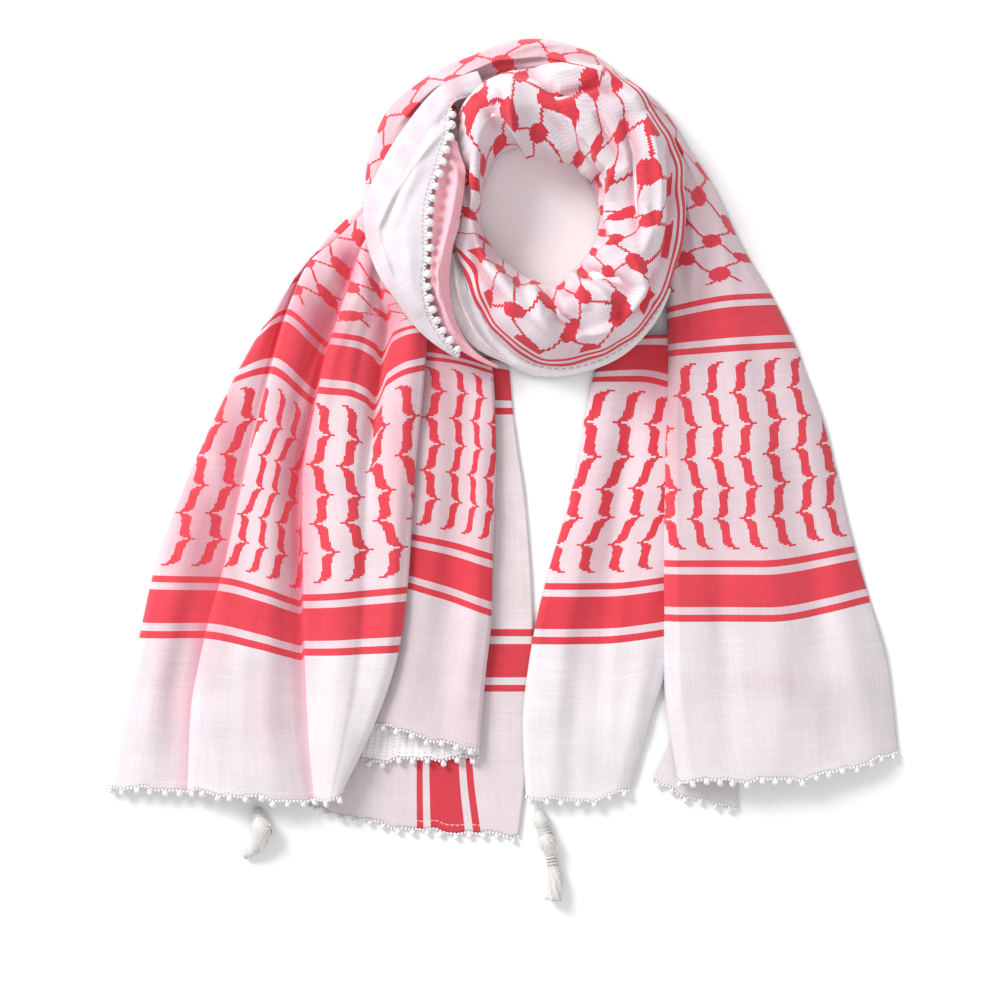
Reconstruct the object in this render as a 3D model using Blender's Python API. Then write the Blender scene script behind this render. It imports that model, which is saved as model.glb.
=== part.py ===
"""Keffiyeh headscarf laid flat: one loop round the neck opening and two pleated tails.

Metres, +Z up. The cloth is the square of a cotton keffiyeh, wound once and laid down,
so every stretch that shows is a wall of its own and the hidden layers are rounded cores.
"""
from collections import namedtuple

import bmesh
import bpy
import numpy as np
from mathutils import Vector

MM = 0.001
CLOTH = 1.2            # wall of one stretch of cloth
NECK_X = 22.0          # middle of the neck opening
NECK_Y = 166.0
PICOT_HALF = 2.8       # half the reach of the ball edging
PICOT_DEPTH = 1.5      # half its thickness
SEAM = 0.5             # open space between a hem and its edging

# ---------------------------------------------------------------- tables, millimetres

RollRow = namedtuple(
    "RollRow", "angle floor lip crest shoulder edge z_lip z_crest z_shoulder z_edge")
INNER_ROLL = (
    RollRow(0, 40, 47, 64, 82, 95, 32, 49, 43, 27),
    RollRow(30, 40, 44, 66, 86, 100, 32, 48, 42, 26),
    RollRow(60, 42, 44, 66, 86, 101, 30, 46, 40, 26),
    RollRow(90, 44, 47, 65, 80, 92, 30, 46, 40, 28),
    RollRow(120, 45, 53, 64, 75, 85, 32, 45, 42, 32),
    RollRow(143, 40, 44, 49, 56, 63, 34, 42, 38, 30),
    RollRow(153, 38, 41, 45, 48.5, 56, 33, 40, 36, 29),
    RollRow(165, 38, 40, 43, 46.5, 54, 33, 38, 35, 28),
    RollRow(190, 37, 39, 42.5, 47, 55, 33, 38, 35, 28),
    RollRow(215, 36, 39, 45, 52, 59, 31, 39, 37, 31),
    RollRow(240, 38, 42, 52, 64, 75, 28, 41, 37, 27),
    RollRow(265, 44, 48, 60, 80, 95, 28, 43, 36, 15),
    RollRow(285, 49, 52, 66, 88, 102, 30, 45, 35, 13),
    RollRow(305, 44, 50, 68, 90, 103, 31, 47, 38, 18),
    RollRow(330, 42, 49, 68, 86, 98, 32, 49, 43, 26),
)

BandRow = namedtuple("BandRow", "angle inner mid_in mid_out outer z_in z_mid_in z_mid_out z_out")
COLLAR = (
    BandRow(113, 79, 84, 91, 97, 27, 28, 28, 27),
    BandRow(120, 84, 88, 93, 99, 27, 28, 28, 27),
    BandRow(127, 86, 90, 96, 101, 36, 35, 31, 27),
    BandRow(144, 72, 81, 92, 100, 43, 43, 35, 27),
    BandRow(162, 68, 79, 94, 104, 45, 45, 34, 20),
    BandRow(180, 70, 83, 101, 112, 45, 45, 32, 12),
    BandRow(200, 75, 86, 101, 110, 44, 44, 34, 21),
    BandRow(214, 87, 93, 102, 107, 41, 40, 33, 24),
    BandRow(228, 98, 101, 105, 108, 33, 32, 29, 25),
    BandRow(242, 104, 105.5, 107, 108.5, 26, 25.5, 25, 24),
)
PINK_FOLD = (
    BandRow(140, 66, 71, 76, 82, 37, 38, 37, 35),
    BandRow(153, 51, 60, 69, 78, 38, 40, 39, 35),
    BandRow(170, 47.5, 57, 67, 77, 38, 41, 39, 35),
    BandRow(190, 50, 60, 70, 80, 37, 40, 38, 34),
    BandRow(206, 60, 68, 77, 87, 35, 39, 37, 34),
    BandRow(221, 74, 80, 88, 97, 30, 34, 32, 29),
    BandRow(233, 87, 92, 97, 101, 25, 29, 28, 26),
    BandRow(246, 97, 99, 101, 103, 20, 22, 22, 21),
    BandRow(256, 100, 101.5, 103, 105, 15, 17, 16, 12),
)
WHITE_FOLD = (
    BandRow(207, 54, 57, 60, 64, 23, 24, 26, 28),
    BandRow(221, 56, 63, 69, 76, 22, 26, 28, 26),
    BandRow(233, 62, 70, 78, 87, 19, 24, 24, 21),
    BandRow(246, 74, 82, 90, 96, 14, 20, 20, 16),
    BandRow(258, 84, 91, 96, 99, 8, 14, 13, 11),
    BandRow(270, 92, 97, 101, 105, 8, 10, 9, 3),
    BandRow(284, 96, 100, 104, 107, 8, 9, 8, 3),
    BandRow(298, 97, 101, 105, 108, 12, 13, 12, 11),
    BandRow(315, 95, 98, 102, 105, 17, 17, 16, 14),
    BandRow(330, 91, 94, 97, 100, 21, 21, 20, 19),
)

# Outer side of the hidden layers; their inner side and top follow the roll over them.
CoreRow = namedtuple("CoreRow", "angle fall z_fall valley z_valley shelf z_shelf outer")
RING_CORE = (
    CoreRow(0, 74, 43, 79, 37, 81, 27, 83),
    CoreRow(45, 76, 41, 83, 35, 85, 26, 87),
    CoreRow(90, 69, 42, 74, 36, 76, 26, 77),
    CoreRow(120, 66, 41, 70, 36, 72, 26, 75),
    CoreRow(140, 51, 35, 62, 25, 72, 26, 80),
    CoreRow(155, 46, 31.5, 57, 22, 74, 28, 84),
    CoreRow(180, 46, 30.5, 56, 21, 78, 29, 92),
    CoreRow(205, 48, 33, 52.5, 19, 80, 21, 90),
    CoreRow(225, 52, 33, 55.5, 16, 74, 15, 84),
    CoreRow(240, 57, 34, 63, 15, 65, 12, 67),
    CoreRow(252, 63, 35, 72, 20, 75, 12, 77),
    CoreRow(265, 70, 36, 80, 24, 82, 14, 84),
    CoreRow(300, 76, 40, 86, 30, 88, 22, 90),
    CoreRow(330, 76, 42, 82, 36, 84, 26, 86),
)
UNDER_ROLL = 3.3       # from the roll's outer face to the layers it covers

# Panels of the tails: distance up the cloth from the hem, then the fold lines across.
PanelRow = namedtuple("PanelRow", "height folds")
ReliefRow = namedtuple("ReliefRow", "height rises")
LEFT_FRONT_FOLDS = (
    PanelRow(0, ((-258, -205), (-204, -207), (-122, -214), (-104, -209))),
    PanelRow(62, ((-248, -156), (-202, -158), (-126, -166), (-84, -168))),
    PanelRow(103, ((-236, -109), (-193, -109), (-128, -120), (-67, -118))),
    PanelRow(144, ((-227, -68), (-182, -69), (-129, -80), (-61, -75))),
    PanelRow(210, ((-206, -10), (-169, -10), (-130, -16), (-57, -12))),
    PanelRow(275, ((-176, 56), (-151, 62), (-120, 48), (-50, 64))),
    PanelRow(316, ((-156, 92), (-139, 104), (-110, 88), (-48, 94))),
    PanelRow(370, ((-132, 127), (-126, 133), (-100, 118), (-62, 108))),
    PanelRow(412, ((-112, 152), (-107, 150), (-92, 142), (-70, 130))),
    PanelRow(446, ((-90, 174), (-87, 170), (-81, 162), (-73, 154))),
)
LEFT_FRONT_STATIONS = (0, 0.12, 0.5, 0.85, 0.98, 1.05, 1.3, 1.6, 1.85, 2.0, 2.2, 2.6, 2.9, 3.0)
LEFT_FRONT_RELIEF = (
    ReliefRow(0, (1.3, 5, 7, 5, 5, 10, 14, 14, 11, 9, 12, 15, 15, 13)),
    ReliefRow(103, (1.3, 6, 9, 6, 6, 13, 17, 17, 12, 9, 13, 18, 18, 15)),
    ReliefRow(275, (1.3, 7, 10, 8, 7, 13, 17, 16, 11, 9, 13, 18, 18, 15)),
    ReliefRow(412, (3, 5, 7, 8, 8, 9, 10, 11, 11, 11, 12, 13, 13, 12)),
    ReliefRow(446, (3, 4, 5, 5, 5, 6, 6, 7, 7, 7, 8, 8, 8, 8)),
)
LEFT_SIDE_FOLDS = (
    PanelRow(0, ((-91, -160), (-52, -172), (-15, -182))),
    PanelRow(62, ((-80, -114), (-44, -122), (-11, -134))),
    PanelRow(103, ((-74, -73), (-38, -84), (-7, -95))),
    PanelRow(144, ((-70, -39), (-34, -46), (-6, -54))),
    PanelRow(210, ((-67, 18), (-31, 16), (-4, 12))),
    PanelRow(275, ((-64, 72), (-32, 69), (-6, 62))),
    PanelRow(300, ((-60, 88), (-34, 80), (-8, 72))),
)
LEFT_SIDE_STATIONS = (0, 0.3, 0.7, 1.0, 1.3, 1.7, 1.92, 2.0)
LEFT_SIDE_RELIEF = (
    ReliefRow(0, (6, 7, 9, 8, 7, 9, 8, 6)),
    ReliefRow(150, (6, 7, 9, 7, 7, 10, 9, 6)),
    ReliefRow(300, (6, 7, 8, 7, 7, 8, 8, 6)),
)
LEFT_BACK_FOLDS = (
    PanelRow(0, ((-92, -188), (-15, -186))),
    PanelRow(30, ((-88, -160), (-14, -158))),
)
LEFT_BACK_STATIONS = (0, 0.25, 0.5, 0.75, 1.0)
LEFT_BACK_RELIEF = (
    ReliefRow(0, (3.0, 3.2, 3.0, 3.2, 3.0)),
    ReliefRow(30, (3.0, 3.2, 3.0, 3.2, 3.0)),
)
LEFT_UNDER_FOLDS = (
    PanelRow(0, ((-126, -218), (-55, -233), (11, -237))),
    PanelRow(62, ((-112, -176), (-48, -182), (17, -184))),
    PanelRow(103, ((-100, -143), (-42, -144), (19, -144))),
    PanelRow(144, ((-84, -103), (-34, -103), (20, -103))),
    PanelRow(210, ((-70, -32), (-28, -31), (16, -31))),
    PanelRow(275, ((-58, 36), (-26, 36), (7, 36))),
    PanelRow(312, ((-50, 80), (-22, 76), (4, 70))),
)
LEFT_UNDER_STATIONS = (0, 0.5, 1.0, 1.5, 2.0)
LEFT_UNDER_RELIEF = (
    ReliefRow(0, (1.2, 1.2, 1.2, 1.2, 1.2)),
    ReliefRow(312, (1.2, 1.2, 1.2, 1.2, 1.2)),
)
RIGHT_UNDER_FOLDS = (
    PanelRow(0, ((15, -211), (48, -214), (83, -207))),
    PanelRow(62, ((13, -164), (52, -165), (98, -156))),
    PanelRow(103, ((19, -113), (60, -113), (112, -107))),
    PanelRow(144, ((28, -73), (68, -73), (113, -68))),
    PanelRow(210, ((45, -13), (80, -12), (114, -10))),
    PanelRow(275, ((58, 57), (88, 57), (115, 51))),
    PanelRow(314, ((66, 80), (92, 87), (116, 88))),
)
RIGHT_UNDER_STATIONS = (0, 0.12, 0.5, 0.9, 1.3, 1.7, 1.9, 2.0)
RIGHT_UNDER_RELIEF = (
    ReliefRow(0, (3, 6, 7, 5, 6, 6, 4, 2)),
    ReliefRow(103, (3, 6, 8, 5, 7, 7, 5, 3)),
    ReliefRow(150, (1.3, 6, 8, 5, 7, 7, 5, 3)),
    ReliefRow(314, (2, 5, 7, 6, 7, 7, 6, 5)),
)
RIGHT_FLAP_FOLDS = (
    PanelRow(0, ((97, -201), (126, -213), (153, -219))),
    PanelRow(34, ((108, -176), (132, -182), (154, -188))),
)
RIGHT_FLAP_STATIONS = (0, 0.5, 1.0, 1.5, 2.0)
RIGHT_FLAP_RELIEF = (
    ReliefRow(0, (1.6, 2.2, 1.6, 2.2, 1.6)),
    ReliefRow(34, (1.6, 2.2, 1.6, 2.2, 1.6)),
)


def polar(angle, radius):
    """Point in the plane at an angle and radius about the middle of the neck opening."""
    turn = np.radians(angle)
    return (NECK_X + radius * np.cos(turn), NECK_Y + radius * np.sin(turn))


def spoke(height, angle, inner, outer):
    """Row of the right wrap where it rounds the ring: both ends on one spoke."""
    middle = 0.5 * (inner + outer)
    return PanelRow(height, (polar(angle, inner), polar(angle, middle), polar(angle, outer)))


RIGHT_WRAP_FOLDS = (
    PanelRow(0, ((113, -200), (184, -199), (257, -183))),
    PanelRow(62, ((105, -143), (178, -141), (251, -131))),
    PanelRow(103, ((104, -98), (172, -98), (239, -86))),
    PanelRow(144, ((104, -58), (166, -58), (228, -49))),
    PanelRow(210, ((105, 6), (158, 9), (212, 18))),
    PanelRow(275, ((107, 73), (149, 76), (191, 79))),
    PanelRow(316, ((106, 105), (140, 112), (174, 115))),
    PanelRow(345, ((105, 129), (133, 132), (162, 134))),
    spoke(378, -7, 86, 132),
    spoke(410, 8, 86, 117),
    spoke(440, 24, 88, 107.5),
    spoke(472, 42, 91, 107),
    spoke(502, 58, 90, 106),
    spoke(530, 74, 82, 111),
    spoke(562, 92, 80, 113.8),
    spoke(595, 112, 81, 111),
    spoke(630, 130, 84, 114),
    spoke(664, 148, 86, 117.5),
    spoke(700, 165, 91, 114),
    spoke(712, 170, 94, 113),
)
RIGHT_WRAP_STATIONS = (0, 0.15, 0.5, 1.0, 1.4, 1.75, 1.92, 2.0)
RIGHT_WRAP_RELIEF = (
    ReliefRow(0, (8, 12, 14, 15, 13, 9, 5, 1.3)),
    ReliefRow(150, (10, 14, 16, 18, 15, 10, 5, 1.3)),
    ReliefRow(316, (12, 15, 17, 19, 17, 11, 6, 1.5)),
    ReliefRow(378, (18, 19, 21, 21, 18, 12, 6, 2)),
    ReliefRow(440, (20, 21, 21, 20, 17, 11, 7, 3)),
    ReliefRow(530, (20, 22, 23, 22, 19, 12, 7, 3)),
    ReliefRow(595, (20, 22, 22, 22, 20, 13, 7, 3)),
    ReliefRow(664, (20, 21, 21, 20, 17, 11, 6, 3)),
    ReliefRow(712, (12, 12, 12, 11, 9, 7, 5, 3)),
)

# Hidden pleats of each tail: one flat-bottomed heap, one row per cross-section.
HeapRow = namedtuple("HeapRow", "y left right rise")
LEFT_HEAP = (
    HeapRow(-196, -240, -140, 3.2),
    HeapRow(-150, -230, -140, 4.0),
    HeapRow(-70, -208, -140, 4.6),
    HeapRow(10, -184, -140, 4.6),
    HeapRow(70, -154, -124, 4.2),
    HeapRow(104, -134, -112, 3.0),
)
RIGHT_HEAP = (
    HeapRow(-168, 128, 228, 5.0),
    HeapRow(-110, 126, 222, 7.0),
    HeapRow(-40, 126, 206, 8.0),
    HeapRow(40, 126, 184, 8.0),
    HeapRow(100, 126, 160, 6.0),
)

# Tassels: plan position along the cord and the yarn's radius there.
TasselRow = namedtuple("TasselRow", "x y radius")
TASSEL_LEFT = (
    TasselRow(-159, -219.5, 2.0),
    TasselRow(-158, -224, 3.2),
    TasselRow(-156, -232, 8.0),
    TasselRow(-158, -240, 6.0),
    TasselRow(-163, -247, 4.0),
    TasselRow(-168, -251, 2.0),
)
TASSEL_RIGHT = (
    TasselRow(23, -221, 2.0),
    TasselRow(25, -228, 5.0),
    TasselRow(27, -234, 3.6),
    TasselRow(29, -241, 6.2),
    TasselRow(32, -253, 3.2),
    TasselRow(34, -266, 5.0),
    TasselRow(33, -279, 5.4),
)


# ---------------------------------------------------------------- interpolation

def smooth(knots, values, at):
    """Cubic through the knots with limited slopes, so a column never overshoots far."""
    knots = np.asarray(knots, dtype=float)
    values = np.asarray(values, dtype=float)
    steps = np.diff(knots)
    slopes = np.diff(values) / steps
    tangents = np.zeros(len(knots))
    tangents[0] = slopes[0]
    tangents[-1] = slopes[-1]
    for i in range(1, len(knots) - 1):
        if slopes[i - 1] * slopes[i] > 0:
            tangents[i] = 2 * slopes[i - 1] * slopes[i] / (slopes[i - 1] + slopes[i])
    at = np.clip(np.asarray(at, dtype=float), knots[0], knots[-1])
    cell = np.clip(np.searchsorted(knots, at, side="right") - 1, 0, len(steps) - 1)
    width = steps[cell]
    part = (at - knots[cell]) / width
    square = part * part
    cube = square * part
    return ((2 * cube - 3 * square + 1) * values[cell]
            + (cube - 2 * square + part) * width * tangents[cell]
            + (3 * square - 2 * cube) * values[cell + 1]
            + (cube - square) * width * tangents[cell + 1])


def column(rows, name, at, around=False):
    """One named column of a table at new places; around repeats it every full turn."""
    knots = [row[0] for row in rows]
    values = [getattr(row, name) for row in rows]
    if around:
        knots = [k - 360 for k in knots] + knots + [k + 360 for k in knots]
        values = values * 3
    return smooth(knots, values, at)


# ---------------------------------------------------------------- point grids

def ring_points(rows, radii, rises, angles, around=False):
    """Rows of points round the neck opening from named radius and rise columns."""
    radius = [column(rows, name, angles, around) for name in radii]
    rise = [column(rows, name, angles, around) for name in rises]
    grid = []
    for i, angle in enumerate(angles):
        line = []
        for r, z in zip(radius, rise):
            x, y = polar(angle, r[i])
            line.append(Vector((x, y, z[i])) * MM)
        grid.append(line)
    return grid


def panel_points(folds, stations, relief, heights):
    """Rows of points up a tail panel: stations between fold lines, lifted by the relief."""
    knots = [row.height for row in folds]
    count = len(folds[0].folds)
    lines = []
    for k in range(count):
        xs = smooth(knots, [row.folds[k][0] for row in folds], heights)
        ys = smooth(knots, [row.folds[k][1] for row in folds], heights)
        lines.append((xs, ys))
    levels = [row.height for row in relief]
    rises = [smooth(levels, [row.rises[s] for row in relief], heights)
             for s in range(len(stations))]
    grid = []
    for i in range(len(heights)):
        xs = [line[0][i] for line in lines]
        ys = [line[1][i] for line in lines]
        across_x = smooth(range(count), xs, stations) if count > 2 else np.interp(
            stations, range(count), xs)
        across_y = smooth(range(count), ys, stations) if count > 2 else np.interp(
            stations, range(count), ys)
        grid.append([Vector((across_x[s], across_y[s], rises[s][i])) * MM
                     for s in range(len(stations))])
    return grid


# ---------------------------------------------------------------- bodies

def fabric(name, colour):
    """Plain matt cloth material."""
    material = bpy.data.materials.new(name)
    material.use_nodes = True
    shader = material.node_tree.nodes["Principled BSDF"]
    shader.inputs["Base Color"].default_value = (*colour, 1.0)
    shader.inputs["Roughness"].default_value = 0.85
    return material


def link(name, mesh, material):
    """Object for a finished mesh, smooth shaded and in the scene."""
    body = bpy.data.objects.new(name, mesh)
    body.data.materials.append(material)
    bpy.context.scene.collection.objects.link(body)
    for face in body.data.polygons:
        face.use_smooth = True
    return body


def shaped_grid(grid, closed_rows, closed_columns):
    """Mesh grid bent onto rows of points; closed sides are welded."""
    rows = len(grid)
    columns = len(grid[0])
    form = bmesh.new()
    bmesh.ops.create_grid(form, x_segments=columns - 1, y_segments=rows - 1, size=1.0)
    form.verts.ensure_lookup_table()
    for row in range(rows):
        for place in range(columns):
            form.verts[row * columns + place].co = grid[row][place]
    if closed_rows or closed_columns:
        bmesh.ops.remove_doubles(form, verts=form.verts[:], dist=0.00002)
    return form


def wall(name, grid, material, closed=False, flip=False):
    """Cloth wall under a grid of points, closed to a body by Solidify."""
    form = shaped_grid(grid, closed, False)
    if flip:
        bmesh.ops.reverse_faces(form, faces=form.faces[:])
    mesh = bpy.data.meshes.new(name)
    form.to_mesh(mesh)
    form.free()
    body = link(name, mesh, material)
    thickness = body.modifiers.new("wall", "SOLIDIFY")
    thickness.thickness = CLOTH * MM
    thickness.offset = -1.0
    thickness.use_even_offset = True
    return body


def tube(name, sections, material, closed=False):
    """Closed body through rings of points, capped at both ends unless it closes up."""
    loops = [ring + [ring[0].copy()] for ring in sections]
    if closed:
        loops.append([point.copy() for point in loops[0]])
    form = shaped_grid(loops, closed, True)
    if not closed:
        ends = [edge for edge in form.edges if len(edge.link_faces) == 1]
        bmesh.ops.holes_fill(form, edges=ends, sides=0)
    bmesh.ops.recalc_face_normals(form, faces=form.faces[:])
    mesh = bpy.data.meshes.new(name)
    form.to_mesh(mesh)
    form.free()
    return link(name, mesh, material)


def edging(name, line, outward, material, lift=0.0):
    """Ball edging beside a cloth edge: flat-sided rod following the edge."""
    sections = []
    for point, side in zip(line, outward):
        middle = point + side * (SEAM + PICOT_HALF) * MM
        middle.z = max(middle.z + (lift - 0.5 * CLOTH) * MM, PICOT_DEPTH * MM)
        ring = []
        for across, up in ((-1, 0), (-0.5, -1), (0.5, -1), (1, 0), (0.5, 1), (-0.5, 1)):
            offset = side * across * PICOT_HALF * MM
            ring.append(middle + offset + Vector((0, 0, up * PICOT_DEPTH * MM)))
        sections.append(ring)
    return tube(name, sections, material)


def outward_of(line, away):
    """Unit vectors in plan at right angles to a line, on the side facing away."""
    sides = []
    for i in range(len(line)):
        ahead = line[min(i + 1, len(line) - 1)]
        behind = line[max(i - 1, 0)]
        run = ahead - behind
        side = Vector((run.y, -run.x, 0)).normalized()
        if side.dot(away[i]) < 0:
            side = -side
        sides.append(side)
    return sides


def hem_edging(name, grid, material, lift=0.0):
    """Ball edging below the hem row of a tail panel."""
    away = [grid[0][s] - grid[1][s] for s in range(len(grid[0]))]
    return edging(name, grid[0], outward_of(grid[0], away), material, lift)


def tassel(name, rows, material):
    """Bound tassel lying on the surface: rings of the yarn's radius along its cord."""
    sections = []
    for i, row in enumerate(rows):
        ahead = rows[min(i + 1, len(rows) - 1)]
        behind = rows[max(i - 1, 0)]
        run = Vector((ahead.x - behind.x, ahead.y - behind.y, 0)).normalized()
        side = Vector((run.y, -run.x, 0))
        ring = []
        for step in range(8):
            turn = 2 * np.pi * (step + 0.5) / 8
            offset = side * float(np.cos(turn)) * row.radius
            height = 0.85 * row.radius * (0.93 + float(np.sin(turn)))
            ring.append((Vector((row.x, row.y, height)) + offset) * MM)
        sections.append(ring)
    return tube(name, sections, material)


def ring_core(name, material):
    """Hidden wound layers: rounded ring with a flat underside, close under the roll."""
    angles = np.arange(0, 360, 7.5)
    own = {field: column(RING_CORE, field, angles, True) for field in CoreRow._fields[1:]}
    roll = {field: column(INNER_ROLL, field, angles, True) for field in RollRow._fields[1:]}
    sections = []
    for i, angle in enumerate(angles):
        inner = roll["floor"][i] + UNDER_ROLL
        outline = (
            (inner + 4, 0), (inner, 4), (inner + 0.3, 0.6 * roll["z_lip"][i]),
            (roll["lip"][i] + UNDER_ROLL, roll["z_lip"][i] - 1),
            (roll["crest"][i], roll["z_crest"][i] - UNDER_ROLL),
            (own["fall"][i], own["z_fall"][i]),
            (own["valley"][i], own["z_valley"][i]),
            (own["shelf"][i], own["z_shelf"][i]),
            (own["outer"][i], 0.45 * own["z_shelf"][i]), (own["outer"][i] - 5, 0),
        )
        sections.append([Vector((*polar(angle, r), z)) * MM for r, z in outline])
    return tube(name, sections, material, closed=True)


def heap(name, rows, material):
    """Hidden pleats of a tail: low rounded body with a flat underside."""
    levels = np.linspace(rows[0].y, rows[-1].y, 8)
    left = column(rows, "left", levels)
    right = column(rows, "right", levels)
    rise = column(rows, "rise", levels)
    sections = []
    for i, y in enumerate(levels):
        middle = 0.5 * (left[i] + right[i])
        half = 0.5 * (right[i] - left[i])
        outline = ((-1, 0), (1, 0), (0.94, 0.5), (0.7, 0.9), (0, 1), (-0.7, 0.9), (-0.94, 0.5))
        sections.append([Vector((middle + a * half, y, b * rise[i])) * MM for a, b in outline])
    return tube(name, sections, material)


# ---------------------------------------------------------------- the scarf

def clear_scene():
    """Start from an empty scene."""
    for body in list(bpy.data.objects):
        bpy.data.objects.remove(body, do_unlink=True)


def main():
    """Build every stretch of the laid scarf."""
    clear_scene()
    printed = fabric("patterned_cotton", (0.80, 0.42, 0.45))
    plain = fabric("white_cotton", (0.88, 0.86, 0.88))
    reverse = fabric("reverse_cotton", (0.80, 0.48, 0.52))
    lace = fabric("crochet_edging", (0.90, 0.89, 0.90))
    yarn = fabric("tassel_yarn", (0.88, 0.87, 0.86))

    roll_angles = np.linspace(0, 360, 49)
    roll = ring_points(
        INNER_ROLL, ("floor", "floor", "lip", "crest", "shoulder", "edge"),
        ("z_lip", "z_lip", "z_lip", "z_crest", "z_shoulder", "z_edge"), roll_angles, True)
    for line in roll:
        line[0].z = 3 * MM
        line[1].z = 0.6 * line[2].z
    wall("inner_roll", roll, printed, closed=True)

    band_radii = ("inner", "mid_in", "mid_out", "outer")
    band_rises = ("z_in", "z_mid_in", "z_mid_out", "z_out")
    collar = ring_points(COLLAR, band_radii, band_rises, np.linspace(113, 242, 22))
    wall("collar", collar, plain)
    pink = ring_points(PINK_FOLD, band_radii, band_rises, np.linspace(140, 256, 20))
    wall("pink_fold", pink, reverse)
    white = ring_points(WHITE_FOLD, band_radii, band_rises, np.linspace(207, 330, 21))
    wall("white_fold", white, plain)

    inner_line = [line[0] for line in collar[3:]]
    inward = [Vector((NECK_X * MM, NECK_Y * MM, 0)) - p for p in inner_line]
    edging("collar_picots", inner_line, outward_of(inner_line, inward), lace, lift=0.8)

    wrap_heights = np.concatenate((np.linspace(0, 316, 13), np.linspace(345, 712, 22)))
    wrap = panel_points(RIGHT_WRAP_FOLDS, RIGHT_WRAP_STATIONS, RIGHT_WRAP_RELIEF, wrap_heights)
    wall("right_wrap", wrap, printed)
    hem_edging("right_wrap_picots", wrap, lace)

    panels = (
        ("left_front", LEFT_FRONT_FOLDS, LEFT_FRONT_STATIONS, LEFT_FRONT_RELIEF, 16),
        ("left_side", LEFT_SIDE_FOLDS, LEFT_SIDE_STATIONS, LEFT_SIDE_RELIEF, 10),
        ("left_back", LEFT_BACK_FOLDS, LEFT_BACK_STATIONS, LEFT_BACK_RELIEF, 3),
        ("left_under", LEFT_UNDER_FOLDS, LEFT_UNDER_STATIONS, LEFT_UNDER_RELIEF, 10),
        ("right_under", RIGHT_UNDER_FOLDS, RIGHT_UNDER_STATIONS, RIGHT_UNDER_RELIEF, 10),
        ("right_flap", RIGHT_FLAP_FOLDS, RIGHT_FLAP_STATIONS, RIGHT_FLAP_RELIEF, 3),
    )
    for name, folds, stations, relief, count in panels:
        heights = np.linspace(folds[0].height, folds[-1].height, count)
        grid = panel_points(folds, stations, relief, heights)
        wall(name, grid, printed if "back" not in name else lace)
        hem_edging(name + "_picots", grid, lace, lift=1.0 if "back" in name else 0.0)

    ring_core("ring_core", plain)
    heap("left_heap", LEFT_HEAP, plain)
    heap("right_heap", RIGHT_HEAP, plain)
    tassel("tassel_left", TASSEL_LEFT, yarn)
    tassel("tassel_right", TASSEL_RIGHT, yarn)


main()
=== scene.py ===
"""Keffiyeh headscarf laid flat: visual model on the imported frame.

A 1.40 m square of red and white jacquard cotton, wound once round the neck opening and laid
down with two pleated tails. Every stretch that shows is one thin sheet shaped in its own sizes,
with its pattern drawn in the cloth's own coordinates. Lengths in the tables are millimetres.
"""
import logging
from dataclasses import dataclass
from enum import Enum
from typing import NamedTuple, Sequence

import bmesh
import bpy
import numpy as np
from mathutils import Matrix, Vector

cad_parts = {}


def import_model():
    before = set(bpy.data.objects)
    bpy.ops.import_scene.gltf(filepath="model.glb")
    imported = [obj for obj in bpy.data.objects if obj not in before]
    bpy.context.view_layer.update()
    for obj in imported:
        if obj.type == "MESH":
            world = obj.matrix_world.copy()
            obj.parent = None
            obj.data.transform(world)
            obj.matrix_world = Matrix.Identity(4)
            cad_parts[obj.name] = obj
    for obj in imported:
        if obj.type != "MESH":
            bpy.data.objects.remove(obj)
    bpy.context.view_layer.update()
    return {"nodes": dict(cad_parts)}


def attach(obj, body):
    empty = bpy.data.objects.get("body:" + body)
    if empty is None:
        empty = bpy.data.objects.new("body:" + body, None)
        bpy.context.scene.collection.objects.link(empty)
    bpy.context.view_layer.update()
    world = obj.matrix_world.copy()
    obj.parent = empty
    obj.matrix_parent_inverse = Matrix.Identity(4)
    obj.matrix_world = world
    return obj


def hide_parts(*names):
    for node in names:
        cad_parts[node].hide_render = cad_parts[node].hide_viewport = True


LOG = logging.getLogger("keffiyeh")

MM = 0.001
CLOTH_THICK = 0.7        # cotton with its float yarns, drawn a little full
NECK = (22.0, 166.0)     # middle of the neck opening
PICOT_PITCH = 9.1        # from ball to ball along an edge
BALL_AWAY = 2.7          # from the edge to the middle of a ball
CHAIN_PITCH = 2.3        # stitches of the chain that carries the balls
CHAIN_AWAY = 0.6
CHAIN_SIZE = 1.2
LOWEST = 1.0             # least height of a sheet above the floor
LOWEST_RAISED = 0.1      # added to it where the cloth is raised at all
VALLEY_SHADE = 0.5        # painted pink shade in the fold beside a pleat, and how far it reaches
VALLEY_REACH = 0.15
HEM_REACH = 16.0         # how far up the cloth a hem wanders
ROOT = "root"


class Finish(Enum):
    """Record's material slot behind each finish."""

    PATTERN = "patterned_cotton"
    WHITE = "white_cotton"
    CROCHET = "crochet_edging"
    YARN = "tassel_yarn"


class FoldKind(Enum):
    """How the cloth stands along a crease."""

    SOFT = "soft"
    LAP = "lap"


class Fold(NamedTuple):
    """A crease in plan: its line, its rise (negative for a trough) and its widths."""

    line: tuple
    rise: float
    width: float
    kind: FoldKind = FoldKind.SOFT
    sharp: float = 1.0


class Row(NamedTuple):
    """One row of a table: its place along the cloth and a value per station."""

    at: float
    values: tuple


# ---------------------------------------------------------------- numbers and grids

def linear_rgb(code: str) -> tuple:
    """Turn an sRGB hex colour into linear RGBA.

    Args:
        code: Six hex digits.

    Returns:
        Linear red, green, blue and an alpha of one.
    """
    parts = [int(code[i:i + 2], 16) / 255.0 for i in (0, 2, 4)]
    bent = [c / 12.92 if c <= 0.04045 else ((c + 0.055) / 1.055) ** 2.4 for c in parts]
    return (*bent, 1.0)


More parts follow.
